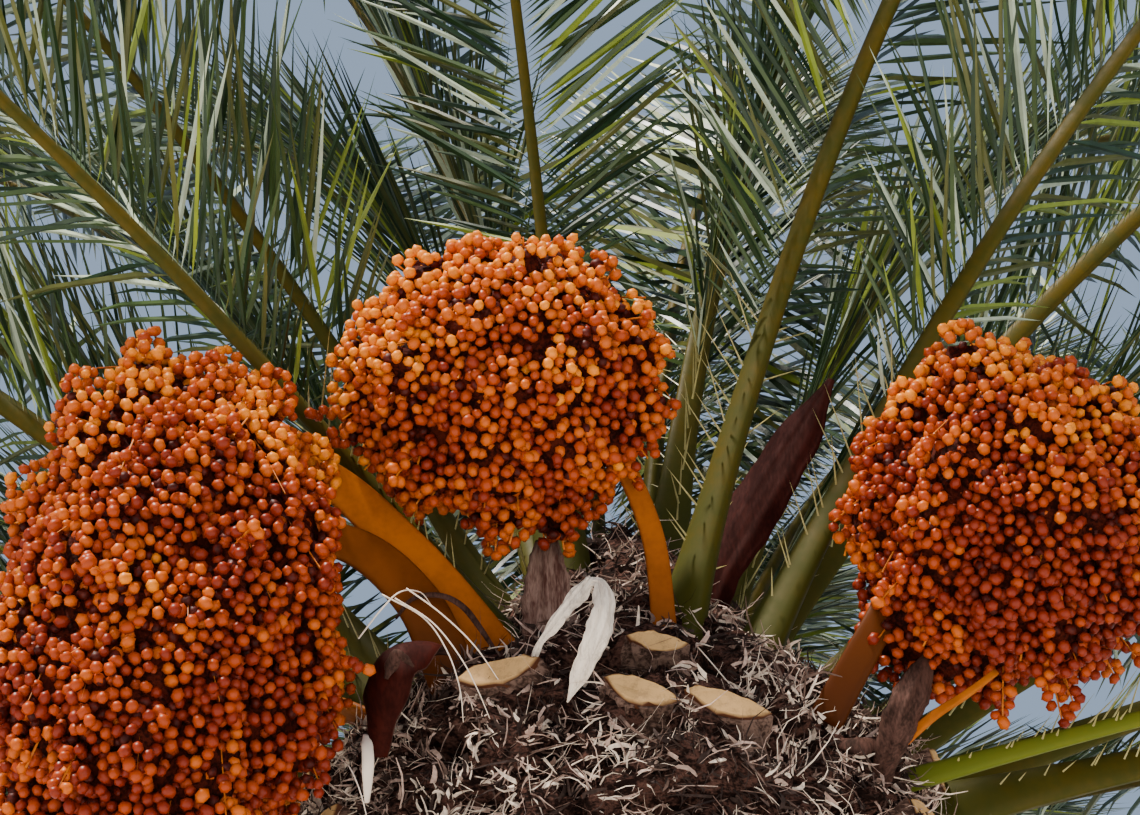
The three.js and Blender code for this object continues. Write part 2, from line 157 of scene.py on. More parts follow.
# The studio's suns: strength, spread in degrees, colour and where each stands.
SUNS = {
    "key": (10.0, 5, (1.0, 0.95, 0.86), (-0.42, -0.4, 1.0)),
    "fill": (0.9, 50, (1, 1, 1), (0.5, -1.0, -0.35)),
}
SKY_STRENGTH = 0.62
FLOOR_REACH = 30


def rounded(value):
    """A share from 0 to 1 with soft ends."""
    value = np.clip(value, 0, 1)
    return value * value * (3 - 2 * value)


def chance(a, b):
    """A repeatable number from 0 to 1 for two whole numbers, or for arrays of them."""
    value = np.sin(np.asarray(a, float) * 12.9898 + np.asarray(b, float) * 78.233) * 43758.5453
    return value - np.floor(value)


def polar(radius, turn, height):
    """Points at distances from the Z axis, turned round it in radians, at heights."""
    return np.stack([radius * np.cos(turn), radius * np.sin(turn), height], -1)


def unit(vectors):
    return vectors / np.maximum(np.linalg.norm(vectors, axis=-1, keepdims=True), 1e-9)


def trunk_radius(height):
    return np.interp(height, TRUNK_ROWS[:, 1], TRUNK_ROWS[:, 0])


def dome_height(radius):
    """The height of the dome over the rim at a distance from the trunk's axis."""
    dome = TRUNK_ROWS[:DOME_ROW - 1:-1]
    return float(np.interp(radius, dome[:, 0], dome[:, 1]))


# Fruit bunches: where each hangs, its half sizes, how slim its stalks are, and the lines of the stalks.
Bunch = namedtuple("Bunch", "name at half slim stalks azimuth on_edge", defaults=(None, False))
HUNG_OUT = 0.65
HUNG_STALK = ((0.33, 3.48), (0.45, 3.56), (0.58, 3.53))


def hung_bunch(name, azimuth, height, half):
    """A bunch round the back, on a stalk that bends down over the rim."""
    turn = math.radians(azimuth)
    ends = (*HUNG_STALK, (HUNG_OUT, height + 0.4 * half[2]), (HUNG_OUT, height))
    *stalk, at = [polar(radius, turn, z) for radius, z in ends]
    return Bunch(name, at, half, 1, [stalk], azimuth)


BUNCHES = [
    Bunch("fruit_middle", (-0.152, -0.44, 3.836), (0.216, 0.2, 0.208), 0.4, [
        [(0.048, -0.296, 3.556), (0.03, -0.345, 3.69), (-0.03, -0.39, 3.8), (-0.13, -0.43, 3.85)],
    ], on_edge=True),
    Bunch("fruit_left", (-0.542, -0.436, 3.478), (0.23, 0.238, 0.434), 0.82, [
        [(-0.158, -0.285, 3.535), (-0.272, -0.332, 3.664), (-0.4, -0.372, 3.762), (-0.52, -0.41, 3.74)],
        [(-0.205, -0.3, 3.475), (-0.26, -0.335, 3.59), (-0.35, -0.362, 3.655), (-0.5, -0.41, 3.6)],
    ], on_edge=True),
    Bunch("fruit_low_left", (-0.936, -0.262, 3.29), (0.196, 0.196, 0.28), 1, [
        [(-0.275, -0.19, 3.485), (-0.42, -0.13, 3.575), (-0.64, -0.115, 3.59), (-0.905, -0.235, 3.4)],
    ]),
    Bunch("fruit_right", (0.478, -0.386, 3.676), (0.236, 0.226, 0.248), 0.56, [
        [(0.238, -0.29, 3.44), (0.3, -0.335, 3.54), (0.36, -0.35, 3.64), (0.47, -0.38, 3.7)],
    ], on_edge=True),
    hung_bunch("fruit_rear_right", 52, 3.19, (0.2, 0.2, 0.262)),
    hung_bunch("fruit_rear", 110, 3.215, (0.206, 0.2, 0.25)),
    hung_bunch("fruit_rear_left", 162, 3.17, (0.196, 0.205, 0.268)),
]
FRUIT_NODES = [bunch.name for bunch in BUNCHES]

# Fronds that the crown is built round. Lift is the rise of the foot above level, and droop the bend over it.
Frond = namedtuple("Frond", "name base azimuth lift droop length")
NAMED_FRONDS = [
    Frond("frond_front_right", (0.058, -0.215, 3.6), -44, 68, 70, 3.5),
    Frond("frond_right", (0.142, -0.205, 3.55), -26, 59, 61, 3.6),
    Frond("frond_left", (-0.136, -0.205, 3.581), 207, 44, 52, 3.6),
    Frond("frond_left_rear", (-0.128, -0.02, 3.7), 196, 60, 46, 3.5),
    Frond("frond_middle", (-0.064, -0.05, 3.764), 253, 74, 46, 3.4),
    Frond("frond_low_right", (0.292, -0.192, 3.401), -28, 1, 36, 3.7),
    Frond("frond_rear_right", (0.143, 0, 3.667), 2, 57, 51, 3.5),
    Frond("frond_low_left", (-0.33, -0.04, 3.41), 176, 6, 46, 3.7),
]


def turn_between(a, b):
    return abs((a - b + 180) % 360 - 180)


def direction(azimuth, rise):
    """The way a line runs at an azimuth and one or more rises above level, in degrees."""
    return polar(np.cos(np.radians(rise)), math.radians(azimuth), np.sin(np.radians(rise)))


def beside_stalks(azimuth, lift):
    """A low frond is turned aside from the stalk of a bunch that hangs below it."""
    if lift > LOW_LIFT:
        return azimuth
    for bunch in BUNCHES:
        if bunch.azimuth is None:
            continue
        side = azimuth - bunch.azimuth
        if abs(side) < STALK_GAP:
            return bunch.azimuth + (-STALK_GAP if side < 0 else STALK_GAP)
    return azimuth


def left_out(frond):
    """True for a frond of the rule that would stand in the open front or over a named one."""
    gap = FRONT_GAP if frond.lift > LOW_LIFT else LOW_FRONT_GAP
    if turn_between(frond.azimuth, -90) < gap:
        return True
    way = direction(frond.azimuth, frond.lift)
    near = math.cos(math.radians(NAMED_GAP))
    return any(way @ direction(named.azimuth, named.lift) > near for named in NAMED_FRONDS)


def fronds_by_rule():
    """A golden-angle spiral that opens from the upright heart to the level outer fronds."""
    found = []
    for i in range(FRONDS_BY_RULE):
        rank = (i + 0.5) / FRONDS_BY_RULE
        lift = LIFT_FIRST - LIFT_FALL * rank ** 0.9
        azimuth = beside_stalks((FIRST_AZIMUTH + i * GOLDEN_ANGLE) % 360, lift)
        reach = HEAD_RADIUS * (SEAT_FIRST + SEAT_GAIN * rank ** 0.55)
        base = polar(reach, math.radians(azimuth), dome_height(reach) - SEAT_SINK - SEAT_FALL * rank)
        droop = DROOP_LEAST + DROOP_SPREAD * float(chance(i, 3))
        length = LENGTH_LEAST + LENGTH_GAIN * rank ** 0.7
        found.append(Frond(f"frond_{i + 1:02d}", base, azimuth, lift, droop, length))
    return [frond for frond in found if not left_out(frond)]


FRONDS = NAMED_FRONDS + fronds_by_rule()
FROND_NODES = [frond.name for frond in FRONDS]
if set(FROND_NODES) != {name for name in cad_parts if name.startswith("frond_")}:
    raise RuntimeError("the fronds of the rule aren't the fronds of the frame")


def rib_frames(frond, along):
    """Points of a rib at distances along it, and the directions ahead, to its left and over it."""
    steps = np.arange(CURVE_STEPS + 1) / CURVE_STEPS
    ahead = direction(frond.azimuth, frond.lift - frond.droop * steps ** DROOP_POWER)
    line = frond.base + np.vstack([np.zeros(3), np.cumsum(ahead[:-1] * frond.length / CURVE_STEPS, 0)])
    place = np.clip(np.asarray(along) / frond.length, 0, 1) * CURVE_STEPS
    i = np.minimum(place.astype(int), CURVE_STEPS - 1)
    share = (place - i)[:, None]
    at = line[i] + (line[i + 1] - line[i]) * share
    way = unit(ahead[i] + (ahead[i + 1] - ahead[i]) * share)
    turn = math.radians(frond.azimuth)
    left = np.broadcast_to(np.array([-math.sin(turn), math.cos(turn), 0.0]), way.shape)
    return at, way, left, np.cross(way, left)


def rib_half_width(frond, along):
    """Half the rib's width at a distance along it: a broad clasping foot, then an even taper."""
    left = np.clip(1 - along / frond.length, 0, 1)
    slim, slim_foot = RIB_SLIM.get(frond.name, (1, 1))
    stalk = RIB_TIP_WIDTH + (RIB_STALK_WIDTH * slim - RIB_TIP_WIDTH) * left ** 1.2
    foot = (RIB_BASE_WIDTH - RIB_STALK_WIDTH) * slim_foot * np.exp(-along / FOOT_FADE)
    return (stalk + foot) / 2


def fibonacci_ball(count, turn=0.0):
    """Directions spread evenly over a ball."""
    i = np.arange(count)
    z = 1 - (2 * i + 1) / count
    return polar(np.sqrt(1 - z * z), np.radians(GOLDEN_ANGLE * i + turn), z)


def bunch_reach(ways, seed):
    """How far a bunch reaches in each direction, as a share of its half size."""
    lobes = fibonacci_ball(LOBES, 360 * chance(seed, 7))
    near = np.maximum(0, ways @ lobes.T) ** LOBE_POWER
    rise = LOBE_RISE * (0.55 + 0.45 * chance(seed, np.arange(LOBES))) * near
    return 1 - LOBE_RISE + rise.max(axis=1)


LINE_STEPS = 24


def centripetal(points, count):
    """Points at equal steps on the smooth line through the given ones, and the direction at each."""
    knots = [np.array(p, float) for p in points]
    knots = [2 * knots[0] - knots[1], *knots, 2 * knots[-1] - knots[-2]]
    fine = []
    for p0, p1, p2, p3 in zip(knots, knots[1:], knots[2:], knots[3:]):
        d0, d1, d2 = (max(np.linalg.norm(b - a) ** 0.5, 1e-4) for a, b in ((p0, p1), (p1, p2), (p2, p3)))
        m1 = ((p1 - p0) / d0 - (p2 - p0) / (d0 + d1) + (p2 - p1) / d1) * d1
        m2 = ((p2 - p1) / d1 - (p3 - p1) / (d1 + d2) + (p3 - p2) / d2) * d1
        for t in np.arange(LINE_STEPS) / LINE_STEPS:
            cubic = (2 * p1 - 2 * p2 + m1 + m2) * t ** 3 + (-3 * p1 + 3 * p2 - 2 * m1 - m2) * t * t
            fine.append(cubic + m1 * t + p1)
    fine = np.array([*fine, knots[-2]])
    lengths = np.concatenate([[0], np.cumsum(np.linalg.norm(np.diff(fine, axis=0), axis=1))])
    steps = np.linspace(0, lengths[-1], count)
    line = np.stack([np.interp(steps, lengths, fine[:, k]) for k in range(3)], -1)
    return line, unit(np.gradient(line, axis=0))


# Making meshes.
def new_object(data):
    """An object in the scene under the name of its data."""
    piece = bpy.data.objects.new(data.name, data)
    bpy.context.scene.collection.objects.link(piece)
    return piece


def keep(mesh, slot, *nodes):
    """Hands a finished mesh to the frame: its body and the nodes that it stands for. Its slot is not used."""
    piece = new_object(mesh)
    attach(piece, BODY)
    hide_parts(*nodes)


def set_field(mesh, name, values):
    """Gives a mesh a field of one or three numbers at each point."""
    values = np.ascontiguousarray(values, float).ravel()
    kind, key = ("FLOAT_VECTOR", "vector") if values.size > len(mesh.vertices) else ("FLOAT", "value")
    mesh.attributes.new(name, kind, "POINT").data.foreach_set(key, values)


def new_mesh(name, points, edges=(), faces=(), **fields):
    """A mesh with named fields for a node tree to read."""
    mesh = bpy.data.meshes.new(name)
    mesh.from_pydata(np.reshape(points, (-1, 3)).tolist(), list(edges), list(faces))
    for key, values in fields.items():
        set_field(mesh, key, values)
    return mesh


def face_outwards(mesh):
    """Turns the faces of a closed mesh outwards."""
    work = bmesh.new()
    work.from_mesh(mesh)
    bmesh.ops.recalc_face_normals(work, faces=work.faces)
    work.to_mesh(mesh)
    work.free()


def solid_mesh(name, points, faces, *materials, smooth=True):
    """A closed mesh with its materials, its shading and its faces turned outwards."""
    mesh = new_mesh(name, points, faces=faces)
    for material in materials:
        mesh.materials.append(material)
    mesh.polygons.foreach_set("use_smooth", [smooth] * len(mesh.polygons))
    mesh.validate()
    face_outwards(mesh)
    return mesh


def ring_faces(rings, count, first):
    """The faces of a closed tube through rings of points, with a cap at each end."""
    faces = []
    for i in range(rings - 1):
        for j in range(count):
            a = first + i * count + j
            b = first + i * count + (j + 1) % count
            faces.append((a, b, b + count, a + count))
    last = first + (rings - 1) * count
    return faces + [tuple(range(first + count - 1, first - 1, -1)), tuple(range(last, last + count))]


def rings_mesh(name, ring_sets, *materials, smooth=True):
    """One mesh of closed tubes, each an array of rings. A second material goes on their inner sides."""
    points, faces, inner = [], [], []
    for rings in ring_sets:
        rows, count = rings.shape[:2]
        faces += ring_faces(rows, count, len(points))
        inner += [int(k % count >= count // 2) for k in range((rows - 1) * count)] + [0, 0]
        points += rings.reshape(-1, 3).tolist()
    mesh = solid_mesh(name, points, faces, *materials, smooth=smooth)
    if len(materials) > 1:
        mesh.polygons.foreach_set("material_index", inner)
    return mesh


def template(name, points, edges=(), faces=()):
    """A small shape for a tree to repeat, with how far along it each point is grown. See discard."""
    mesh = new_mesh(name, points, edges, faces, grown=[point[0] for point in points])
    if faces:
        face_outwards(mesh)
    return new_object(mesh)


def discard(*pieces):
    for piece in pieces:
        mesh = piece.data
        bpy.data.objects.remove(piece)
        bpy.data.meshes.remove(mesh)


def section(name, count, over=1.0, under=1.0):
    """A closed outline of half width 1, as high as over above its widest line and as deep as under below."""
    points = []
    for j in range(count):
        turn = 2 * math.pi * j / count
        height = math.sin(turn)
        points.append((math.cos(turn), height * (over if height > 0 else under), 0))
    return template(name, points, [(j, (j + 1) % count) for j in range(count)])


# Node trees.
def feed(tree, node, sources):
    """Links a node's inputs to sockets, or sets them to values."""
    for key, value in sources.items():
        if isinstance(value, bpy.types.NodeSocket):
            tree.links.new(value, node.inputs[key])
        else:
            node.inputs[key].default_value = value


def add_node(tree, kind, sources, **settings):
    """Adds a node with its settings and what feeds it, and gives its outputs."""
    node = tree.nodes.new(kind)
    for key, value in settings.items():
        setattr(node, key, value)
    feed(tree, node, sources)
    return node.outputs


def node_group(name, kind, inputs, outputs):
    """An empty node group with its named sockets, and the outputs of its entry."""
    tree = bpy.data.node_groups.new(name, kind)
    for side, sockets in (("INPUT", inputs), ("OUTPUT", outputs)):
        for label, socket in sockets.items():
            tree.interface.new_socket(label, in_out=side, socket_type="NodeSocket" + socket)
    return tree, add_node(tree, "NodeGroupInput", {})


def built(maker):
    """The node group of a maker, built once."""
    name = maker.__name__.split("_")[0].capitalize()
    return bpy.data.node_groups.get(name) or maker(name)


def geometry_tree(name):
    """An empty tree for a modifier, which takes a shape, its shading and its material."""
    inputs = {"Geometry": "Geometry", "Shape": "Object", "Smooth": "Bool", "Finish": "Material"}
    tree, entry = node_group(name, "GeometryNodeTree", inputs, {"Geometry": "Geometry"})
    tree.is_modifier = True
    return tree, entry


def read_field(tree, name, kind="FLOAT_VECTOR"):
    return add_node(tree, "GeometryNodeInputNamedAttribute", {"Name": name}, data_type=kind)["Attribute"]


def finish_tree(tree, entry, geometry):
    """Ends a tree in its shading and its material."""
    shade = add_node(tree, "GeometryNodeSetShadeSmooth",
                     {"Geometry": geometry, "Shade Smooth": entry["Smooth"]})
    paint = add_node(tree, "GeometryNodeSetMaterial", {"Geometry": shade[0], "Material": entry["Finish"]})
    add_node(tree, "NodeGroupOutput", {"Geometry": paint[0]})
    return tree


def scatter_tree(name):
    """A small shape set on every point along its own axes, at its own size, then let sag by its own depth."""
    tree, entry = geometry_tree(name)
    turn = add_node(tree, "FunctionNodeAxesToRotation", {
        "Primary Axis": read_field(tree, "along"),
        "Secondary Axis": read_field(tree, "facing"),
    }, primary_axis="X", secondary_axis="Z")
    shape = add_node(tree, "GeometryNodeObjectInfo", {"Object": entry["Shape"]})
    place = add_node(tree, "GeometryNodeInstanceOnPoints", {
        "Points": entry["Geometry"],
        "Instance": shape["Geometry"],
        "Rotation": turn["Rotation"],
        "Scale": read_field(tree, "size"),
    })
    real = add_node(tree, "GeometryNodeRealizeInstances", {"Geometry": place["Instances"]})
    grown = read_field(tree, "grown", "FLOAT")
    square = add_node(tree, "ShaderNodeMath", {0: grown, 1: grown}, operation="MULTIPLY")
    sag = read_field(tree, "sag", "FLOAT")
    depth = add_node(tree, "ShaderNodeMath", {0: square[0], 1: sag}, operation="MULTIPLY")
    down = add_node(tree, "ShaderNodeVectorMath", {0: (0, 0, -1), "Scale": depth[0]}, operation="SCALE")
    hang = add_node(tree, "GeometryNodeSetPosition", {"Geometry": real["Geometry"], "Offset": down[0]})
    return finish_tree(tree, entry, hang["Geometry"])


def sweep_tree(name):
    """A section swept along every line at its own half width, with its top to the line's own upper side."""
    tree, entry = geometry_tree(name)
    path = add_node(tree, "GeometryNodeMeshToCurve", {"Mesh": entry["Geometry"]})
    upright = add_node(tree, "GeometryNodeSetCurveNormal",
                       {"Curve": path["Curve"], "Normal": read_field(tree, "facing")}, mode="FREE")
    shape = add_node(tree, "GeometryNodeObjectInfo", {"Object": entry["Shape"]})
    outline = add_node(tree, "GeometryNodeMeshToCurve", {"Mesh": shape["Geometry"]})
    skin = add_node(tree, "GeometryNodeCurveToMesh", {
        "Curve": upright["Curve"],
        "Profile Curve": outline["Curve"],
        "Scale": read_field(tree, "half", "FLOAT"),
        "Fill Caps": True,
    })
    return finish_tree(tree, entry, skin["Mesh"])


def grow(name, source_mesh, maker, shape, material, smooth):
    """The plain mesh that a tree makes of a mesh of points or lines."""
    tree = built(maker)
    source = new_object(source_mesh)
    modifier = source.modifiers.new("grow", "NODES")
    modifier.node_group = tree
    values = {"Shape": shape, "Smooth": smooth, "Finish": material}
    for item in tree.interface.items_tree:
        if item.in_out == "INPUT" and item.name in values:
            modifier[item.identifier] = values[item.name]
    bpy.context.view_layer.update()
    grown = source.evaluated_get(bpy.context.evaluated_depsgraph_get())
    mesh = bpy.data.meshes.new_from_object(grown)
    discard(source)
    for key in ("along", "facing", "size", "sag", "grown", "half"):
        if key in mesh.attributes:
            mesh.attributes.remove(mesh.attributes[key])
    mesh.name = name
    return mesh


def scattered(name, spots, along, facing, size, sag, shape, material, smooth=False):
    """A shape set on many spots, each with its own axes, size and sag."""
    mesh = new_mesh(name + "_spots", spots, along=along, facing=facing, size=size, sag=sag)
    return grow(name, mesh, scatter_tree, shape, material, smooth)


def swept(name, line, half, facing, outline, material, smooth=True, **fields):
    """A section swept along many lines that have the same number of points."""
    lines, steps = line.shape[:2]
    first = (np.arange(lines)[:, None] * steps + np.arange(steps - 1)).ravel()
    edges = np.stack([first, first + 1], -1).tolist()
    mesh = new_mesh(name + "_lines", line, edges, half=half, facing=facing, **fields)
    return grow(name, mesh, sweep_tree, outline, material, smooth)


# Materials. A group holds what more than one material uses.
BROAD_DETAIL = 4
FINE_DETAIL = 3
FINE_SHARE = 0.4
COAT_ROUGHNESS = 0.25


def mottle_group(name):
    """Two colours mixed by a soft noise and a finer one, with the noise put out for bump and roughness."""
    inputs = {"First": "Color", "Second": "Color", "Scale": "Float", "Stretch": "Vector", "Grain": "Float",
              "Low": "Float", "High": "Float"}
    outputs = {"Colour": "Color", "Height": "Float", "Mask": "Float"}
    group, entry = node_group(name, "ShaderNodeTree", inputs, outputs)
    place = add_node(group, "ShaderNodeTexCoord", {})
    stretch = add_node(group, "ShaderNodeVectorMath", {0: place["Object"], 1: entry["Stretch"]},
                       operation="MULTIPLY")
    finer = add_node(group, "ShaderNodeMath", {0: entry["Scale"], 1: entry["Grain"]}, operation="MULTIPLY")
    broad, fine = (
        add_node(group, "ShaderNodeTexNoise", {"Vector": stretch[0], "Scale": scale, "Detail": detail})["Fac"]
        for scale, detail in ((entry["Scale"], BROAD_DETAIL), (finer[0], FINE_DETAIL)))
    both = add_node(group, "ShaderNodeMix", {"Factor": FINE_SHARE, "A": broad, "B": fine})["Result"]
    limits = {"Value": both, "From Min": entry["Low"], "From Max": entry["High"]}
    mask = add_node(group, "ShaderNodeMapRange", limits, interpolation_type="SMOOTHSTEP")["Result"]
    blend = add_node(group, "ShaderNodeMix", {"Factor": mask, "A": entry["First"], "B": entry["Second"]},
                     data_type="RGBA")
    add_node(group, "NodeGroupOutput", {"Colour": blend["Result"], "Height": both, "Mask": mask})
    return group


def finish(name, first, second, scale=30.0, stretch=(1, 1, 1), grain=4.0, low=0.35, high=0.65,
           rough=(0.5, 0.7), bump=0.3, depth=0.002, coat=0.0, specular=0.5):
    """A material of two mottled colours, with roughness between two values and a bump of a real depth."""
    material = bpy.data.materials.new(name)
    material.use_nodes = True
    tree = material.node_tree
    mottle = add_node(tree, "ShaderNodeGroup", {
        "First": (*first, 1), "Second": (*second, 1), "Scale": scale, "Stretch": stretch, "Grain": grain,
        "Low": low, "High": high,
    }, node_tree=built(mottle_group))
    dull = add_node(tree, "ShaderNodeMapRange",
                    {"Value": mottle["Mask"], "To Min": rough[0], "To Max": rough[1]})
    relief = add_node(tree, "ShaderNodeBump",
                      {"Strength": bump, "Distance": depth, "Height": mottle["Height"]})
    feed(tree, tree.nodes["Principled BSDF"], {
        "Base Color": mottle["Colour"],
        "Roughness": dull["Result"],
        "Normal": relief["Normal"],
        "Coat Weight": coat,
        "Coat Roughness": COAT_ROUGHNESS,
        "Specular IOR Level": specular,
    })
    return material


def tint_by_field(material, field, paint):
    """Mixes a colour in where the mesh's own field says."""
    tree = material.node_tree
    shader = tree.nodes["Principled BSDF"]
    under = shader.inputs["Base Color"].links[0].from_socket
    near = add_node(tree, "ShaderNodeAttribute", {}, attribute_name=field)
    blend = add_node(tree, "ShaderNodeMix", {"Factor": near["Fac"], "A": under, "B": (*paint, 1)},
                     data_type="RGBA")
    feed(tree, shader, {"Base Color": blend["Result"]})


def darker(colour, share):
    return tuple(c * share for c in colour)


def mixed(a, b, share):
    return tuple(x + (y - x) * share for x, y in zip(a, b))


def by_shade(values, limits):
    """Each shade, with the places whose value lies between the last shade's limit and its own."""
    low = -math.inf
    for shade, high in limits.items():
        yield shade, (values >= low) & (values < high)
        low = high


def joined(parts):
    """Lists of arrays joined array by array."""
    return [np.concatenate(part) for part in zip(*parts)]


def search_tree(points):
    finder = kdtree.KDTree(len(points))
    for i, point in enumerate(points):
        finder.insert(point, i)
    finder.balance()
    return finder


# The stem, with its diamond leaf scars.
STEM_COLUMNS = 224
STEM_ROW_PITCH = 0.0105
STEM_TOP = 3.06
SCAR_TILT = 0.45
GROOVE_WIDTH = 0.3
# How far a scar's face, its lip and luck lift it, as shares of the relief.
FACE_LIFT, LIP_LIFT, LUCK_LIFT = 1.5, 0.5, 0.35
GRAIN_HEIGHT = 0.0022
BULGE_HEIGHT = 0.004
ROOT_HEIGHT = 0.012
# Noises of the bark: scale, octaves and stretch.
GRAIN = (46, 4, (1, 1, 2.2))
BULGES = (15, 3)
ROOTS = (16, 3, (1, 1, 0.22))
# Where the scars and the roots begin and end, and over what height each fades.
SCARS_FROM, SCARS_OVER = 0.16, 0.3
SCARS_PAST, SCARS_END_OVER = 0.1, 0.12
ROOTS_TOP, ROOTS_OVER = 0.42, 0.3


def noise_field(points, scale, octaves=4, stretch=(1, 1, 1)):
    """Smooth noise of about -1 to 1 at each point."""
    spots = points.reshape(-1, 3) * np.array(stretch) * scale
    values = [noise.fractal(Vector(spot), 0.9, 2.1, octaves) for spot in spots]
    return np.array(values).reshape(points.shape[:-1])


def stem_relief(turn, height, points, relief):
    """How far the bark stands out: diamond scars with sunk grooves between them, over a fibrous grain."""
    a = turn / (2 * math.pi) * SCARS_ROUND
    b = (height - SCAR_LOWEST) / SCAR_PITCH
    p, q = a + b / 2, a - b / 2
    fp, fq = p - np.round(p), q - np.round(q)
    cell_row = np.round(p) - np.round(q)
    cell_turn = (np.round(p) + np.round(q)) % (2 * SCARS_ROUND)
    edge = 1 - 2 * np.maximum(np.abs(fp), np.abs(fq))
    face = rounded(edge / GROOVE_WIDTH)
    lip = -(fp - fq) * SCAR_TILT
    luck = chance(cell_row + 3, cell_turn + 11) - 0.5
    scar = relief * (FACE_LIFT * face - 1 + LIP_LIFT * lip * face + LUCK_LIFT * luck * face)
    grain = GRAIN_HEIGHT * noise_field(points, *GRAIN) + BULGE_HEIGHT * noise_field(points, *BULGES)
    below = rounded((SCAR_HIGHEST + SCARS_PAST - height) / SCARS_END_OVER)
    scarred = rounded((height - SCARS_FROM) / SCARS_OVER) * below
    roots = np.abs(noise_field(points, *ROOTS)) * rounded((ROOTS_TOP - height) / ROOTS_OVER)
    return scar * scarred + grain + ROOT_HEIGHT * roots


def stem_rings(relief):
    """The stem's skin, ring over ring."""
    rows = np.linspace(0, STEM_TOP, int(STEM_TOP / STEM_ROW_PITCH))
    columns = np.arange(STEM_COLUMNS) / STEM_COLUMNS * 2 * math.pi
    height, turn = np.meshgrid(rows, columns, indexing="ij")
    radius = trunk_radius(height)
    bare = polar(radius, turn, height)
    return polar(radius + stem_relief(turn, height, bare, relief), turn, height)


# The head of the trunk: matted fibre with holes in it, the cut leaf bases, and loose shreds.
HEAD_COLUMNS = 230
HEAD_FOOT = 2.95
HEAD_ROWS = 70
DOME_ROWS = 36
TUCK = 0.028
TUCK_OVER = 0.04
LUMP_HEIGHT = 0.015
CRUMB_HEIGHT = 0.011
HOLE_DEPTH = 0.045
# Noises of the mat: scale, octaves and stretch. Holes open where theirs passes a limit, over a soft edge.
LUMPS = (15, 4, (1, 1, 1.3))
CRUMBS = (42, 3, (1, 1, 1.5))
HOLES = (13, 2, (1, 1, 1.3))
HOLE_LIMIT, HOLE_EDGE = 0.1, 0.22
CALM_RADIUS = 0.12
COLLAR_HEIGHT = 0.026
COLLAR_SPREAD = 0.055
STUB_SIDE_POINTS = 13
STUB_DROP = 0.045
STUB_SINK = 0.03
STUB_PROUD = 0.026
STUB_SHARES = (0, 0.3, 0.55, 0.8, 1.0)
# The least share of its length and width that a base of the rule has, and what luck adds.
STUB_SHORTEST, STUB_LONGER = 0.85, 0.3
STUB_SLIMMEST, STUB_WIDER = 0.8, 0.2
STUB_ROUGHNESS = 0.004
CUT_SHARES = (0.96, 1.03, 1.06)
CUT_SHRINK = 0.95
CUT_ROUGHNESS = 0.0035
LENS_TOP = 0.38
LENS_SMILE = 0.03
# Cut leaf bases that the photograph shows: azimuth, height, length, lean, width, thickness and roll.
FRONT_STUBS = (
    (248.6, 3.425, 0.05, 28, 0.116, 0.036, 2),
    (271.6, 3.374, 0.054, 28, 0.098, 0.036, -19),
    (284.6, 3.366, 0.054, 28, 0.12, 0.034, -10),
    (275, 3.477, 0.03, 40, 0.08, 0.026, -6),
)
FRONT_SECTOR = (222, 318)


def head_outline():
    """Radius and height up the head's side and over its dome."""
    side = np.linspace(HEAD_FOOT, RIM_HEIGHT, HEAD_ROWS)
    tuck = TUCK * (1 - rounded((side - HEAD_FOOT) / TUCK_OVER))
    dome = np.linspace(0, 1, DOME_ROWS + 1)[1:]
    dome_rows = TRUNK_ROWS[DOME_ROW:]
    lengths = np.concatenate([[0], np.cumsum(np.linalg.norm(np.diff(dome_rows, axis=0), axis=1))])
    dome_radius = np.interp(dome * lengths[-1], lengths, dome_rows[:, 0])
    dome_top = np.interp(dome * lengths[-1], lengths, dome_rows[:, 1])
    return np.concatenate([trunk_radius(side) - tuck, dome_radius]), np.concatenate([side, dome_top])


def stubs():
    """Every cut leaf base, as FRONT_STUBS lists those of the photograph: these, and the others by a rule."""
    found = list(FRONT_STUBS)
    for row in range(STUB_ROWS):
        for place in range(STUBS_ROUND):
            azimuth = STUB_TURN + (place + (row % 2) / 2) / STUBS_ROUND * 360
            if FRONT_SECTOR[0] < azimuth < FRONT_SECTOR[1]:
                continue
            height = RIM_HEIGHT - STUB_DROP - row * STUB_ROW_PITCH
            length = STUB_LENGTH * (STUB_SHORTEST + STUB_LONGER * float(chance(row, place)))
            width = STUB_WIDTH * (STUB_SLIMMEST + STUB_WIDER * float(chance(row + 5, place)))
            roll = STUB_ROLL * (float(chance(row + 9, place)) - 0.5)
            lean = STUB_LEAN + STUB_LEAN_STEP * row
            found.append((azimuth, height, length, lean, width, STUB_THICKNESS, roll))
    return found


def head_surface():
    """The points of the head's rough skin, and the way out at each."""
    radius, height = head_outline()
    ring = polar(1, np.arange(HEAD_COLUMNS) / HEAD_COLUMNS * 2 * math.pi, np.zeros(HEAD_COLUMNS))
    bare = radius[:, None, None] * ring + height[:, None, None] * UP
    slope = np.arctan2(-np.gradient(radius), np.gradient(height))[:, None, None]
    out = np.cos(slope) * ring + np.sin(slope) * UP
    lumps = noise_field(bare, *LUMPS)
    crumbs = 1 - 2 * np.abs(noise_field(bare + 7.3, *CRUMBS))
    holes = rounded((noise_field(bare + 3.1, *HOLES) - HOLE_LIMIT) / HOLE_EDGE)
    calm = np.minimum(1, radius / CALM_RADIUS)[:, None]
    push = calm * (LUMP_HEIGHT * lumps + CRUMB_HEIGHT * crumbs - HOLE_DEPTH * holes)
    for azimuth, foot, *_ in stubs():
        spot = np.array([*(float(trunk_radius(foot)) * direction(azimuth, 0)[:2]), foot - STUB_SINK])
        push += COLLAR_HEIGHT * np.exp(-((bare - spot) ** 2).sum(-1) / (2 * COLLAR_SPREAD ** 2))
    return bare + out * push[..., None], out


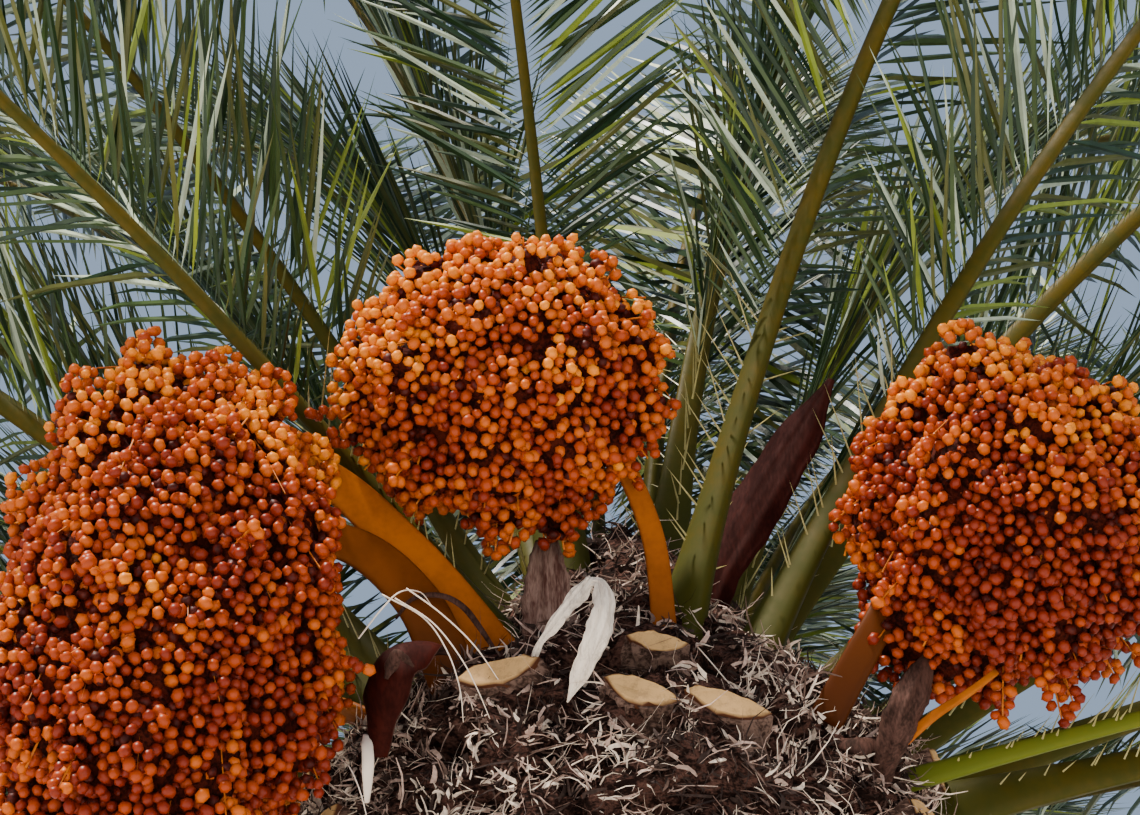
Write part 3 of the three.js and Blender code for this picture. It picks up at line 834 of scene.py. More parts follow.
def lens_outline(count, width, thickness, roll):
    """The outline of a cut leaf base: pointed at both sides, flatter on top, and turned by its roll."""
    share = np.linspace(-1, 1, count)
    arch = (1 - np.abs(share) ** 2.2) * thickness
    smile = LENS_SMILE * width * share ** 2
    top = np.stack([share * width / 2, smile + arch * LENS_TOP], -1)
    under = np.stack([share[::-1] * width / 2, smile - arch[::-1] * (1 - LENS_TOP)], -1)
    turn = math.radians(roll)
    spin = np.array([[math.cos(turn), math.sin(turn)], [-math.sin(turn), math.cos(turn)]])
    return np.vstack([top, under[1:-1]]) @ spin


def stub_sections(stub, shares, shrink=1.0):
    """Upright lens sections of a cut leaf base at shares of its length, from inside the head to its cut."""
    azimuth, height, length, lean, width, thickness, roll = stub
    out = direction(azimuth, 0)
    across = np.array([-out[1], out[0], 0.0])
    lens = lens_outline(STUB_SIDE_POINTS, width, thickness, roll)
    reach = length * math.cos(math.radians(lean))
    rings = []
    for share in shares:
        foot = out * (float(trunk_radius(height)) - STUB_SINK + (reach + STUB_PROUD) * share)
        rise = height + math.tan(math.radians(lean)) * reach * max(0.0, share - 0.25)
        flat = lens * shrink * (1.1 - 0.1 * share)
        ring = foot + UP * rise + across * flat[:, :1] + UP * flat[:, 1:]
        rings.append(ring - out * flat[:, :1] ** 2 / (2 * HEAD_RADIUS))
    return np.array(rings)


def stub_meshes(side_material, face_material):
    """The fibrous sides of all the cut leaf bases, and the pale faces left by the cuts."""
    sides, cuts = [], []
    for number, stub in enumerate(stubs()):
        rings = stub_sections(stub, STUB_SHARES)
        sides.append(rings + STUB_ROUGHNESS * noise_field(rings + number, 60, 2)[..., None])
        face = stub_sections(stub, CUT_SHARES, CUT_SHRINK)
        ragged = CUT_ROUGHNESS * noise_field(face + 5, 70, 3)
        ragged[2] *= 0.5
        face = face + (direction(stub[0], 0) + UP) * ragged[..., None]
        face[-1] = face[-1].mean(0) + (face[-1] - face[-1].mean(0)) * 0.88
        cuts.append(face)
    cut_mesh = rings_mesh("cut_faces", cuts, face_material, smooth=False)
    rim = np.repeat([1.0, 1.0, 0.0], 2 * STUB_SIDE_POINTS - 2)
    set_field(cut_mesh, "rim", np.tile(rim, len(cuts)))
    return rings_mesh("cut_bases", sides, side_material, smooth=False), cut_mesh


# Loose fibre over the head. Neighbouring strands run alike, in tufts.
SHRED_POINTS = 4
SHRED_PATCH = 11
TUFT_PATCH = 10
TUFT_TURN = 9.0
TUFT_SPREAD = 0.55
THICKER_FROM = 3.12
THICKER_OVER = 0.15
ROOT_JITTER = 0.003
ROOT_SINK = 0.003
BURIED = 0.05
PATCHY_SHADE = 0.75
LUCKY_SHADE = 0.36
SHADE_START = 0.06
# Painted light: the fibre is painted paler round this point of the front, where sunlight falls on the head.
PAINTED_LIGHT_SPOT = (-0.03, -0.4, 3.2)
PAINTED_LIGHT_SPREAD = (0.2, 0.2, 0.13)
PAINTED_LIGHT_RISE = 0.3
CUT_CLEAR = 0.036
# Kinds of strand: length, width, how far it lifts off the head and how far it curls.
STRAND_KINDS = {
    "shreds": (0.024, 0.0078, 0.75, 1.5),
    "strips": (0.05, 0.0045, 0.6, 1.4),
    "hairs": (0.06, 0.0018, 0.7, 1.6),
}
# Where each shade ends on the patchy noise of the fibre.
FIBRE_LIMITS = {"dark": -0.24, "brown": -0.02, "pink": 0.25, "straw": 9}


def shred_lines(count, seed, length, width, lift, curl):
    """Loose curled strands over the head: their lines, half widths, upper sides and shades, paler round a spot
    in front as painted light.
    """
    luck = np.random.default_rng(seed)
    points, out = head_surface()
    rows, columns = points.shape[:2]
    thicker = rounded((points[:, :, 2] - THICKER_FROM) / THICKER_OVER)
    weight = np.linalg.norm(points[:, :, :2], axis=-1) * (1 + 2 * thicker)
    weight[:4] *= 0.4
    chosen = luck.choice(rows * columns, count, p=(weight / weight.sum()).ravel())
    normal = out.reshape(-1, 3)[chosen]
    root = points.reshape(-1, 3)[chosen] + luck.normal(0, ROOT_JITTER, (count, 3))
    for stub in FRONT_STUBS:
        face = stub_sections(stub, (1.0,))[0].mean(0)
        root[np.linalg.norm(root - face, axis=1) < CUT_CLEAR] -= BURIED * direction(stub[0], 0)
    around = unit(np.cross(UP, normal))
    down = np.cross(normal, around)
    heading = TUFT_TURN * noise_field(root, TUFT_PATCH, 1) + luck.normal(0, TUFT_SPREAD, count)
    way = around * (1.2 * np.cos(heading))[:, None] + down * np.sin(heading)[:, None]
    way = unit(way + normal * (lift * (0.25 + luck.random(count)))[:, None])
    bend = luck.normal(0, 1, (count, 3)) - 0.3 * normal
    bend = unit(bend - (bend * way).sum(1, keepdims=True) * way)
    turn = (curl * (0.3 + luck.random(count)))[:, None] * np.linspace(0, 1, SHRED_POINTS)
    reach = length * (0.45 + luck.random(count) ** 1.5)
    radius = (reach / turn[:, -1])[:, None]
    line = root[:, None] + way[:, None] * (radius * np.sin(turn))[..., None]
    line = line + bend[:, None] * (radius * (1 - np.cos(turn)))[..., None]
    line = line - normal[:, None] * ROOT_SINK
    taper = 1.02 - np.linspace(0, 1, SHRED_POINTS) ** 2 * 0.75
    half = width / 2 * (0.35 + 1.15 * luck.random(count) ** 1.6)[:, None] * taper
    facing = unit(normal + 0.9 * luck.normal(0, 1, (count, 3)))
    patch = PATCHY_SHADE * noise_field(root, SHRED_PATCH, 2) + LUCKY_SHADE * luck.normal(0, 1, count)
    # Painted light: the shreds round a spot in front are painted paler.
    patch += PAINTED_LIGHT_RISE * np.exp(-(((root - PAINTED_LIGHT_SPOT) / PAINTED_LIGHT_SPREAD) ** 2).sum(-1)) - SHADE_START
    return line, half, np.repeat(facing[:, None], SHRED_POINTS, 1), patch


# Flat straps: fruit stalks, the husk's rim and the dry fibres.
STRAP_SIDES = 20
FIBRE_SIDES = 6


def strap_rings(points, widths, thickness, up, count, sides):
    """Rounded flat sections along a line, each at its own width."""
    line, ahead = centripetal(points, count)
    across = unit(np.cross(ahead, np.array(up, float)))
    out = np.cross(across, ahead)
    width = np.interp(np.linspace(0, 1, count), np.linspace(0, 1, len(widths)), widths)
    depth = np.minimum(thickness, width * 0.8)
    turn = np.arange(sides) / sides * 2 * math.pi
    flat = np.sign(np.cos(turn)) * np.abs(np.cos(turn)) ** 0.55
    deep = np.sign(np.sin(turn)) * np.abs(np.sin(turn)) ** 0.5
    ring = across[:, None] * (width[:, None] / 2 * flat)[..., None]
    ring = ring + out[:, None] * (depth[:, None] / 2 * deep)[..., None]
    return line[:, None] + ring


# Thin shells: bracts and the folded husk. A shell follows a line at widths along it. The rest is its wall,
# the way its outer side faces, its hollow, its rings, the points across, and how it waves, creases and frays.
Shell = namedtuple("Shell", "line widths wall up cup rings across wave crease ragged", defaults=(0, 0, 0))


def shell_rings(shell):
    """Rings of a thin curved shell along its line: across its outer side and back along its inner side."""
    line, ahead = centripetal(shell.line, shell.rings)
    across = unit(np.cross(ahead, np.array(shell.up, float)))
    out = np.cross(across, ahead)
    share = np.linspace(0, 1, shell.rings)[:, None]
    width = np.interp(share, np.linspace(0, 1, len(shell.widths)), shell.widths)
    width = width * (1 + shell.ragged * (np.sin(share * 31) + np.sin(share * 67 + 1)))
    side = np.linspace(-1, 1, shell.across)
    sheet = line[:, None] + across[:, None] * (width / 2 * side)[..., None]
    creases = np.sin(9 * side + 4 * share) + 0.6 * np.sin(17 * side - 3)
    ripple = shell.wave * np.sin(share * 21) * side ** 2 * np.sign(side) + shell.crease * creases
    hollow = ripple * np.minimum(1, width / max(shell.widths)) - shell.cup * width * side ** 2
    sheet = sheet + out[:, None] * hollow[..., None]
    wall = shell.wall * (1 - 0.6 * side ** 4)
    inner = sheet - out[:, None] * np.broadcast_to(wall, hollow.shape)[..., None]
    return np.concatenate([sheet, inner[:, ::-1]], axis=1)


VIEW_SIDE = (0, -1, 0.05)
BRACT_RIGHT = Shell(
    ((0.072, -0.1, 3.62), (0.104, -0.14, 3.74), (0.19, -0.195, 3.88), (0.282, -0.24, 4.012)),
    (0.04, 0.076, 0.09, 0.092, 0.078, 0.012), 0.005, (-0.35, -0.9, 0.2), 0.16, 40, 21, 0.003, 0.001, 0.02)
BRACT_MIDDLE = Shell(
    ((-0.09, -0.275, 3.55), (-0.098, -0.288, 3.63), (-0.1, -0.286, 3.715)),
    (0.066, 0.072, 0.064, 0.05, 0.03), 0.006, (0, -1, 0.2), 0.14, 30, 25, 0.003, 0.002, 0.04)
BRACT_LEFT = Shell(
    ((-0.236, -0.34, 3.506), (-0.266, -0.395, 3.487), (-0.29, -0.41, 3.45), (-0.3, -0.4, 3.40),
     (-0.302, -0.36, 3.35)),
    (0.04, 0.075, 0.078, 0.06, 0.03), 0.004, (-0.5, -0.8, 0.1), 0.3, 22, 13, 0.004)
SCRAP = Shell(
    ((-0.286, -0.42, 3.42), (-0.272, -0.435, 3.45), (-0.252, -0.425, 3.434)),
    (0.006, 0.02, 0.014, 0.004), 0.002, (0, -1, 0.5), 0.3, 16, 9, 0.003)
SHEATH_TALL = Shell(
    ((0.300, -0.26, 3.36), (0.317, -0.32, 3.398), (0.333, -0.34, 3.434), (0.354, -0.34, 3.48),
     (0.367, -0.33, 3.515)),
    (0.02, 0.036, 0.046, 0.042, 0.012), 0.004, (0.2, -1, 0), 0.25, 30, 21, 0.004, 0.0014, 0.04)
SHEATH_LENS = Shell(
    ((0.246, -0.285, 3.42), (0.273, -0.312, 3.402), (0.303, -0.28, 3.425)),
    (0.012, 0.036, 0.012), 0.006, (0, -1, 0.3), 0.2, 16, 11, 0.001)
HUSK_LEFT = Shell(
    ((-0.121, -0.385, 3.435), (-0.110, -0.415, 3.467), (-0.091, -0.442, 3.484), (-0.068, -0.458, 3.509),
     (-0.046, -0.463, 3.535)),
    (0.002, 0.01, 0.017, 0.024, 0.022), 0.0016, (-0.45, -1, 0.1), 0.3, 40, 25, 0.003, 0.0016, 0.04)
HUSK_RIGHT = Shell(
    ((-0.052, -0.46, 3.532), (-0.034, -0.468, 3.526), (-0.026, -0.475, 3.493), (-0.033, -0.475, 3.454),
     (-0.047, -0.462, 3.424), (-0.073, -0.425, 3.384)),
    (0.014, 0.026, 0.032, 0.03, 0.024, 0.002), 0.0016, (0.45, -1, 0.05), 0.3, 44, 25, 0.004, 0.0018, 0.04)
PALE_STRIP = Shell(
    ((-0.308, -0.385, 3.366), (-0.303, -0.41, 3.336), (-0.301, -0.41, 3.31), (-0.303, -0.375, 3.28)),
    (0.006, 0.014, 0.014, 0.006), 0.002, (0.2, -1, 0), 0.15, 16, 7, 0.001)
HUSK_RIM = ((-0.283, -0.335, 3.560), (-0.262, -0.352, 3.578), (-0.228, -0.353, 3.582),
            (-0.202, -0.345, 3.572), (-0.18, -0.33, 3.550), (-0.157, -0.30, 3.527))
DRY_FIBRES = (
    ((-0.275, -0.47, 3.499), (-0.231, -0.46, 3.472), (-0.195, -0.45, 3.426), (-0.177, -0.43, 3.398),
     (-0.163, -0.4, 3.377)),
    ((-0.291, -0.46, 3.511), (-0.239, -0.46, 3.476), (-0.211, -0.45, 3.434), (-0.197, -0.44, 3.392),
     (-0.194, -0.4, 3.373)),
    ((-0.262, -0.47, 3.513), (-0.222, -0.462, 3.484), (-0.182, -0.445, 3.45), (-0.150, -0.4, 3.424)),
    ((-0.318, -0.44, 3.462), (-0.291, -0.465, 3.486), (-0.271, -0.47, 3.507), (-0.248, -0.44, 3.528),
     (-0.236, -0.4, 3.536)),
    ((-0.336, -0.39, 3.33), (-0.319, -0.43, 3.292), (-0.306, -0.43, 3.26), (-0.297, -0.4, 3.233)),
    ((0.056, -0.34, 3.551), (0.086, -0.37, 3.492), (0.125, -0.38, 3.429), (0.144, -0.38, 3.405)),
)
THIN_STALK = ((0.318, -0.29, 3.40), (0.366, -0.33, 3.426), (0.401, -0.35, 3.441), (0.44, -0.36, 3.468))
STALK_RINGS = 34
THIN_RINGS = 20
THIN_WIDTHS = (0.014, 0.011, 0.008)
THIN_WALL = 0.008
FADE_SPAN = (0.05, 0.6)
# How far each stalk is darkened, at its foot and at its fruit: partly real browning and partly painted shade
# on the stalks that stand in shade. Then how much more its bunch's second stalk is, as painted shade from the
# stalk above it.
STALK_BROWNING_AND_SHADE = {"fruit_middle": (0.75, 0.3), "fruit_left": (0.5, 0.0), "fruit_right": (1.0, 0.9)}
OTHER_BROWNING = (0.6, 0.1)
SECOND_STALK_SHADE = (0.45, 0.7)
THIN_BROWNING = 0.3


# Fronds.
RIB_SIDES = 12
RIB_RINGS = 46
CROSS_SAMPLES = np.array([0.35, 0.5, 0.65, 0.8, 0.92, 1.0])
CROSS_MARGIN = 0.14
HEAD_CLEAR = 0.01
RIB_CLEAR = 0.006
RIB_SEARCH = 0.04
RIB_SPOT_PITCH = 0.018
FRUIT_CLEAR = 0.94
LEAST_SHARE = 0.3
FASCICLE_SPREAD = 17
LEAF_STATIONS = ((0.2, 0.96), (0.66, 0.8))
LEAF_KEEL = 0.42
LEAFY_LENGTH = 3.2
# Leaflets in degrees: how they sweep ahead and rise, how much less at the tip, and how far luck turns them.
SWEEP, SWEEP_FALL, SWEEP_LUCK = 55, 27, 15
RISE, RISE_FALL, RISE_LUCK = 28, 14, 18
TWIST, TWIST_LUCK, TWIST_MIDDLE = 6, 90, 0.45
# A leaflet's length along its frond: a swell over a base share, shorter at the foot, and what luck adds.
SWELL_BASE, SWELL_GAIN = 0.42, 0.58
SWELL_TURN, SWELL_POWER, SWELL_START = 0.86, 0.7, 0.25
YOUNG_LEAST, YOUNG_GROWTH = 0.35, 9
LEAF_LEAST, LEAF_LUCK = 0.84, 0.16
LEAF_SLIMMEST, LEAF_WIDER = 0.85, 0.3
# Where a leaflet is rooted on its rib: aside and up, in half widths of the rib.
ROOT_ASIDE, ROOT_UP = 0.82, 0.12
# Their sag as a share of their length: in all of them, with age and by luck.
SAG, SAG_BY_AGE, SAG_BY_LUCK = 0.04, 0.20, 0.10
# Where each green ends on a leaflet's number from 0 to 100, and how dull its wax is.
# The waxy leaflets are pale partly by their real bloom and partly by a painted sheen of sunlight on them.
LEAF_LIMITS = {"deep": 37, "mid": 63, "olive": 82, "waxy": 93, "fresh": 100}
LEAF_DULL = {"deep": 0.3, "mid": 0.34, "olive": 0.36, "waxy": 0.3, "fresh": 0.38}


def rib_lines():
    """Every rib as a line with its half width and upper side, how near its foot it is, and how far painted
    sunlight tints it.
    """
    share = np.linspace(0, 1, RIB_RINGS)
    found = []
    for frond in FRONDS:
        along = frond.length * (0.35 * share + 0.65 * share ** 2.2)
        at, _, _, over = rib_frames(frond, along)
        foot = np.exp(-along / (1.6 * FOOT_FADE))
        # How far painted sunlight tints this rib yellow-green.
        fresh = np.full(RIB_RINGS, float(RIB_PAINTED_SUNLIGHT.get(frond.name, 0)))
        found.append((at, rib_half_width(frond, along), over, foot, fresh))
    return [np.array(part) for part in zip(*found)]


def swung(frames, side, sweep, rise):
    """Ways that sweep out from a rib to one side and rise over it, in degrees."""
    _, ahead, left, over = frames
    sweep, rise = np.radians(sweep)[:, None], np.radians(rise)[:, None]
    aside = side * np.sin(sweep) * np.cos(rise) * left
    return np.cos(sweep) * ahead + aside + np.sin(sweep) * np.sin(rise) * over


def leaflets_of(number, frond, per_side, width):
    """The leaflets of a frond, by the rule of its solid's teeth and as many as a real one has."""
    count = int(per_side * (frond.length - LEAF_START) / LEAFY_LENGTH)
    parts = []
    for side in (1, -1):
        order = np.arange(count)
        luck = [chance(order + 1, 31 * number + 7 * side + k) for k in range(9)]
        share = (order + 0.5 + 0.5 * (luck[0] - 0.5)) / count
        along = LEAF_START + share * LEAFY_SHARE * (frond.length - LEAF_START)
        frames = rib_frames(frond, along)
        at, _, left, over = frames
        half = rib_half_width(frond, along)[:, None]
        swell = SWELL_BASE + SWELL_GAIN * np.sin(math.pi * SWELL_TURN * share ** SWELL_POWER + SWELL_START)
        young = np.minimum(1, YOUNG_LEAST + share * YOUNG_GROWTH)
        length = LEAF_LONGEST * swell * young * (LEAF_LEAST + LEAF_LUCK * luck[1])
        rank = order % 3 - 1
        sweep = SWEEP - SWEEP_FALL * share + SWEEP_LUCK * (luck[2] - 0.5)
        rise = RISE - RISE_FALL * share + FASCICLE_SPREAD * rank + RISE_LUCK * (luck[3] - 0.5)
        way = swung(frames, side, sweep, rise)
        upper = unit(over - (over * way).sum(1, keepdims=True) * way)
        twist = np.radians(side * (TWIST + TWIST_LUCK * (luck[4] - TWIST_MIDDLE)))[:, None]
        facing = np.cos(twist) * upper + np.sin(twist) * np.cross(way, upper)
        root = at + side * left * half * ROOT_ASIDE + over * half * ROOT_UP
        age = 1 - frond.lift / 90
        sag = length * (SAG + SAG_BY_AGE * age * luck[5] + SAG_BY_LUCK * luck[6] ** 3)
        wide = width * (0.55 + 0.45 * length / LEAF_LONGEST) * (LEAF_SLIMMEST + LEAF_WIDER * luck[7])
        tint = np.floor(luck[8] * 100)
        parts.append((root, way, facing, length, wide, sag, tint))
    return joined(parts)


def rib_finder():
    """A search tree of points on every rib, with the frond and half width of each."""
    spots, owners, halves = [], [], []
    for number, frond in enumerate(FRONDS):
        along = np.arange(0, frond.length, RIB_SPOT_PITCH)
        at, _, _, _ = rib_frames(frond, along)
        spots.append(at)
        owners += [number] * len(at)
        halves.append(rib_half_width(frond, along))
    return search_tree(np.vstack(spots)), owners, np.concatenate(halves)


def inside_mass(points):
    """True where a point lies in a bunch of fruit or in the head."""
    hit = np.hypot(points[..., 0], points[..., 1]) < trunk_radius(points[..., 2]) + HEAD_CLEAR
    hit &= points[..., 2] < TIP_HEIGHT
    for bunch in BUNCHES:
        hit |= (((points - bunch.at) / bunch.half) ** 2).sum(-1) < FRUIT_CLEAR
    return hit


def clear_share(number, samples, finder, owners, halves):
    """How much of each leaflet stays clear of the fruit, the head and the other ribs."""
    blocked = inside_mass(samples)
    for i in range(samples.shape[0]):
        for j in range(samples.shape[1]):
            if blocked[i, j]:
                break
            for _, k, distance in finder.find_range(samples[i, j], RIB_SEARCH):
                if owners[k] != number and distance < halves[k] + RIB_CLEAR:
                    blocked[i, j] = True
                    break
    shares = np.ones(len(samples))
    for j in range(samples.shape[1] - 1, -1, -1):
        shares[blocked[:, j]] = CROSS_SAMPLES[j] - CROSS_MARGIN
    return shares


def leaflet_shape():
    """One leaflet of length and width 1: a blade keeled below, drawn to a point at both ends."""
    points = [(0, 0, 0)]
    for x, wide in LEAF_STATIONS:
        points += [(x, wide / 2, LEAF_KEEL * wide), (x, 0, 0), (x, -wide / 2, LEAF_KEEL * wide)]
    points.append((1, 0, 0))
    faces = []
    for j in range(3):
        k = (j + 1) % 3
        faces += [(0, 1 + j, 1 + k), (1 + j, 4 + j, 4 + k, 1 + k), (4 + j, 7, 4 + k)]
    return template("leaflet_shape", points, faces=faces)


def spine_shape():
    """A spine of length and width 1."""
    points = [(x, half * y, half * z) for x, half in ((0, 0.5), (0.6, 0.26))
              for y, z in ((1, 0), (0, 1), (-1, 0), (0, -1))]
    points.append((1, 0, 0))
    faces = [(0, 1, 2, 3)]
    faces += [(j, j + 4, (j + 1) % 4 + 4, (j + 1) % 4) for j in range(4)]
    faces += [(4 + j, 8, 4 + (j + 1) % 4) for j in range(4)]
    return template("spine_shape", points, faces=faces)


SPINES_A_SIDE = 13
SPINES_FROM = 0.11
SPINES_TO = 0.47
SPINE_SHORTEST = 0.035
SPINE_GAIN = 0.09
SPINE_THICKNESS = 0.0032
SPINE_SWEEP, SPINE_SWEEP_LUCK = 48, 24
SPINE_RISE, SPINE_RISE_LUCK = 28, 40


def spine_field():
    """The stiff spines low on every rib, where a leafy frond has its first stunted leaflets."""
    found = []
    for number, frond in enumerate(FRONDS):
        for side in (1, -1):
            order = np.arange(SPINES_A_SIDE)
            luck = [chance(order + 1, 53 * number + 5 * side + k) for k in range(4)]
            along = SPINES_FROM + (SPINES_TO - SPINES_FROM) * (order + luck[0]) / SPINES_A_SIDE
            frames = rib_frames(frond, along)
            at, _, left, over = frames
            sweep = SPINE_SWEEP + SPINE_SWEEP_LUCK * (luck[1] - 0.5)
            way = swung(frames, side, sweep, SPINE_RISE + SPINE_RISE_LUCK * (luck[2] - 0.5))
            worn = min(1, 0.2 + frond.lift / 40)
            share = (along - SPINES_FROM) / (SPINES_TO - SPINES_FROM)
            length = (SPINE_SHORTEST + SPINE_GAIN * share) * (0.7 + 0.6 * luck[3]) * worn
            thick = np.full(SPINES_A_SIDE, SPINE_THICKNESS)
            root = at + side * left * rib_half_width(frond, along)[:, None] * 0.85
            found.append((root, way, over, np.stack([length, thick, thick], -1)))
    return joined(found)


# Fruit.
FRUIT_SIDES = 6
INNER_SIDES = 4
FRUIT_SHOULDER = 0.22
FRUIT_FULL = 0.455
RELAX_ROUNDS = 9
SPRAYS = 90
SPRAY_WIDTH = 0.18
SPRAY_DEPTH = 0.14
FULLNESS = 0.075
# Swells and hollows of the front bunches as the photograph shows them: right, up, spread and rise.
SWELLS = {
    "fruit_middle": (
        (-1, 0, 0.42, 0.12),
        (1, 0.05, 0.4, 0.08),
        (-0.6, 0.8, 0.26, 0.12),
        (0.45, 0.85, 0.3, 0.12),
        (0, 1, 0.45, 0.09),
        (-0.3, -0.95, 0.25, -0.08),
        (-0.06, -1, 0.16, -0.18),
        (0.26, -0.97, 0.17, 0.09),
    ),
    "fruit_left": (
        (-0.32, 0.94, 0.16, 0.13),
        (0.0, 1.0, 0.2, 0.11),
        (0.32, 0.95, 0.15, -0.07),
        (-0.7, 0.7, 0.14, -0.1),
        (0.85, 0.6, 0.25, 0.07),
        (1, 0.12, 0.13, 0.09),
        (0.8, -0.55, 0.35, -0.07),
        (-0.4, -0.2, 0.3, 0.05),
        (0.1, -0.12, 0.25, -0.08),
    ),
    "fruit_right": (
        (-0.36, 0.93, 0.2, 0.08),
        (0.44, 0.86, 0.22, -0.17),
        (-0.68, -0.72, 0.25, 0.25),
        (0.33, -0.94, 0.25, 0.07),
    ),
}
# How much redder than the others the fruit of some bunches is: partly riper fruit, and partly painted light on
# the paler middle bunch and painted shade on the redder left and right ones.
BUNCH_RIPENESS_AND_LIGHT = {"fruit_middle": -0.1, "fruit_left": 0.09, "fruit_right": 0.12}
# Painted light: fruit higher in a bunch are painted paler, as if lit from above.
PAINTED_SUNLIT_TOP = 0.32
# Ripeness from 0 to 1: the least, and what a fruit's spray and luck add. Then the same for hanging sprays.
RIPE_LEAST, RIPE_BY_SPRAY, RIPE_BY_LUCK = 0.1, 0.4, 0.4
HUNG_RIPE, HUNG_BY_LUCK = 0.3, 0.5
FRUIT_SMALLEST, FRUIT_LARGER = 0.86, 0.26
INNER_SHARE = 0.42
INNER_DEPTH = 0.075
HANGING_SPRAYS = 16
HANGING_FRUIT = 9
SKIN_A_FRUIT = 0.97
STAGGER = 0.17
HANG_FROM = 0.7
HANG_LEAST = 0.02
HANG_SPREAD = 0.13
HANG_DROOP = 0.03
HANG_PITCH = 0.55
HANG_ASIDE = 0.62
# Where each orange ends on a fruit's ripeness, which also carries the painted light on the tops of the
# bunches.
FRUIT_LIMITS = {"gold": 0.3, "orange": 0.53, "deep": 0.76, "red": 1.01}
INNER_LIMITS = {"inner": 1.01}
OTHER_RIPER = 0.05
STRAND_POINTS = 6
STRAND_HALF = 0.0014
HEART_INSET = 0.13
HEART_LUMP = 0.006
HEART_LUMPS = (55, 2)
STRAND_BOW = 0.05
STRAND_BOW_LUCK = 0.02
STRAND_SINK = 0.04


def fruit_shape(name, sides):
    """One fruit of length and width 1: two rings, one turned half a step from the other, and two ends."""
    points = [(0.5, 0, 0)]
    for x, step in ((FRUIT_SHOULDER, 0), (-FRUIT_SHOULDER, 0.5)):
        for j in range(sides):
            turn = 2 * math.pi * (j + step) / sides
            points.append((x, FRUIT_FULL * math.cos(turn), FRUIT_FULL * math.sin(turn)))
    points.append((-0.5, 0, 0))
    last = len(points) - 1
    faces = []
    for j in range(sides):
        k = (j + 1) % sides
        a, b = 1 + j, 1 + k
        faces += [(0, a, b), (a, a + sides, b), (a + sides, b + sides, b), (a + sides, last, b + sides)]
    return template(name, points, faces=faces)


def spray_tips(seed):
    """The directions of a bunch's sprays, and how far each stands out."""
    luck = np.random.default_rng(70 + seed)
    tips = unit(fibonacci_ball(SPRAYS, 40 * seed) + luck.normal(0, 0.07, (SPRAYS, 3)))
    return tips, luck.uniform(-0.05, 0.035, SPRAYS)


def swell_ways(bunch):
    """The swells and hollows of a bunch, with their ways turned from the photograph's view into its own."""
    tilt = math.radians(EYE_TILT)
    for right, up, spread, rise in SWELLS.get(bunch.name, ()):
        way = np.array([right, -math.sin(tilt) * up, math.cos(tilt) * up]) * bunch.half
        yield unit(way), spread, rise


def fruit_reach(ways, seed):
    """How far the fruit reaches in each direction, its spray, and how full the spray is there."""
    tips, stands = spray_tips(seed)
    near = ways @ tips.T
    spray = near.argmax(1)
    swell = np.exp(-2 * (1 - near.max(1)) / SPRAY_WIDTH ** 2)
    reach = bunch_reach(ways, seed) + FULLNESS + stands[spray] * swell - SPRAY_DEPTH * (1 - swell)
    for way, spread, rise in swell_ways(BUNCHES[seed]):
        reach = reach + rise * np.exp(-2 * (1 - ways @ way) / spread ** 2)
    return reach, spray, swell


def held_in(points, bunch, seed, inset):
    """Points pulled back to where the fruit of the bunch reaches."""
    offset = (points - bunch.at) / bunch.half
    far = np.linalg.norm(offset, axis=1, keepdims=True)
    limit = (fruit_reach(offset / far, seed)[0] - inset)[:, None]
    return bunch.at + offset / far * np.minimum(far, limit) * bunch.half


def spread_apart(points, gap, hold):
    """Points moved apart until few stand closer than the gap, each held where it may be."""
    for _ in range(RELAX_ROUNDS):
        finder = search_tree(points)
        pairs = [(i, j) for i, point in enumerate(points)
                 for _, j, _ in finder.find_range(point, gap) if j > i]
        if not pairs:
            break
        first, second = np.array(pairs).T
        way = points[first] - points[second]
        distance = np.maximum(np.linalg.norm(way, axis=1, keepdims=True), 1e-5)
        push = way / distance * (gap - distance) * 0.5
        np.add.at(points, first, push)
        np.add.at(points, second, -push)
        points = hold(points)
    return points


def bunch_area(bunch):
    """The skin of the bunch's ellipsoid."""
    a, b, c = bunch.half
    mean = ((a * b) ** 1.6 + (a * c) ** 1.6 + (b * c) ** 1.6) / 3
    return 4 * math.pi * mean ** (1 / 1.6)


def fruit_layer(seed, bunch, count, width, depth, luck):
    """Fruit over a bunch at a depth below its skin: their places, axes and sprays."""
    ways = unit(fibonacci_ball(count, 17 * seed) + luck.normal(0, 1 / math.sqrt(count), (count, 3)))
    inset = width / 2 / np.mean(bunch.half)
    reach, _, swell = fruit_reach(ways, seed)
    share = (reach - inset - depth) * (1 - STAGGER * luck.random(count) ** 1.6)
    stays = luck.random(count) < 0.6 + swell
    points = bunch.at + (ways * share[:, None] * bunch.half)[stays]
    points = spread_apart(points, width, lambda p: held_in(p, bunch, seed, inset + depth))
    out = unit((points - bunch.at) / bunch.half)
    axis = unit(out * 0.6 + 0.6 * luck.normal(0, 1, points.shape) + np.array([0, 0, -0.3]))
    return points, axis, fruit_reach(out, seed)[1]


def strands_of(seed, bunch):
    """Strands from the end of the stalk to the sprays of a bunch."""
    luck = np.random.default_rng(90 + seed)
    end = np.array(bunch.stalks[0][-1])
    tips, _ = spray_tips(seed)
    reach = fruit_reach(tips, seed)[0] - STRAND_SINK
    share = np.linspace(0, 1, STRAND_POINTS)[:, None]
    lines = []
    for tip, far in zip(tips, reach):
        goal = bunch.at + tip * far * bunch.half
        bow = STRAND_BOW * UP + luck.normal(0, STRAND_BOW_LUCK, 3)
        lines.append(end + (goal - end) * share + bow * np.sin(math.pi * share))
    return np.array(lines)


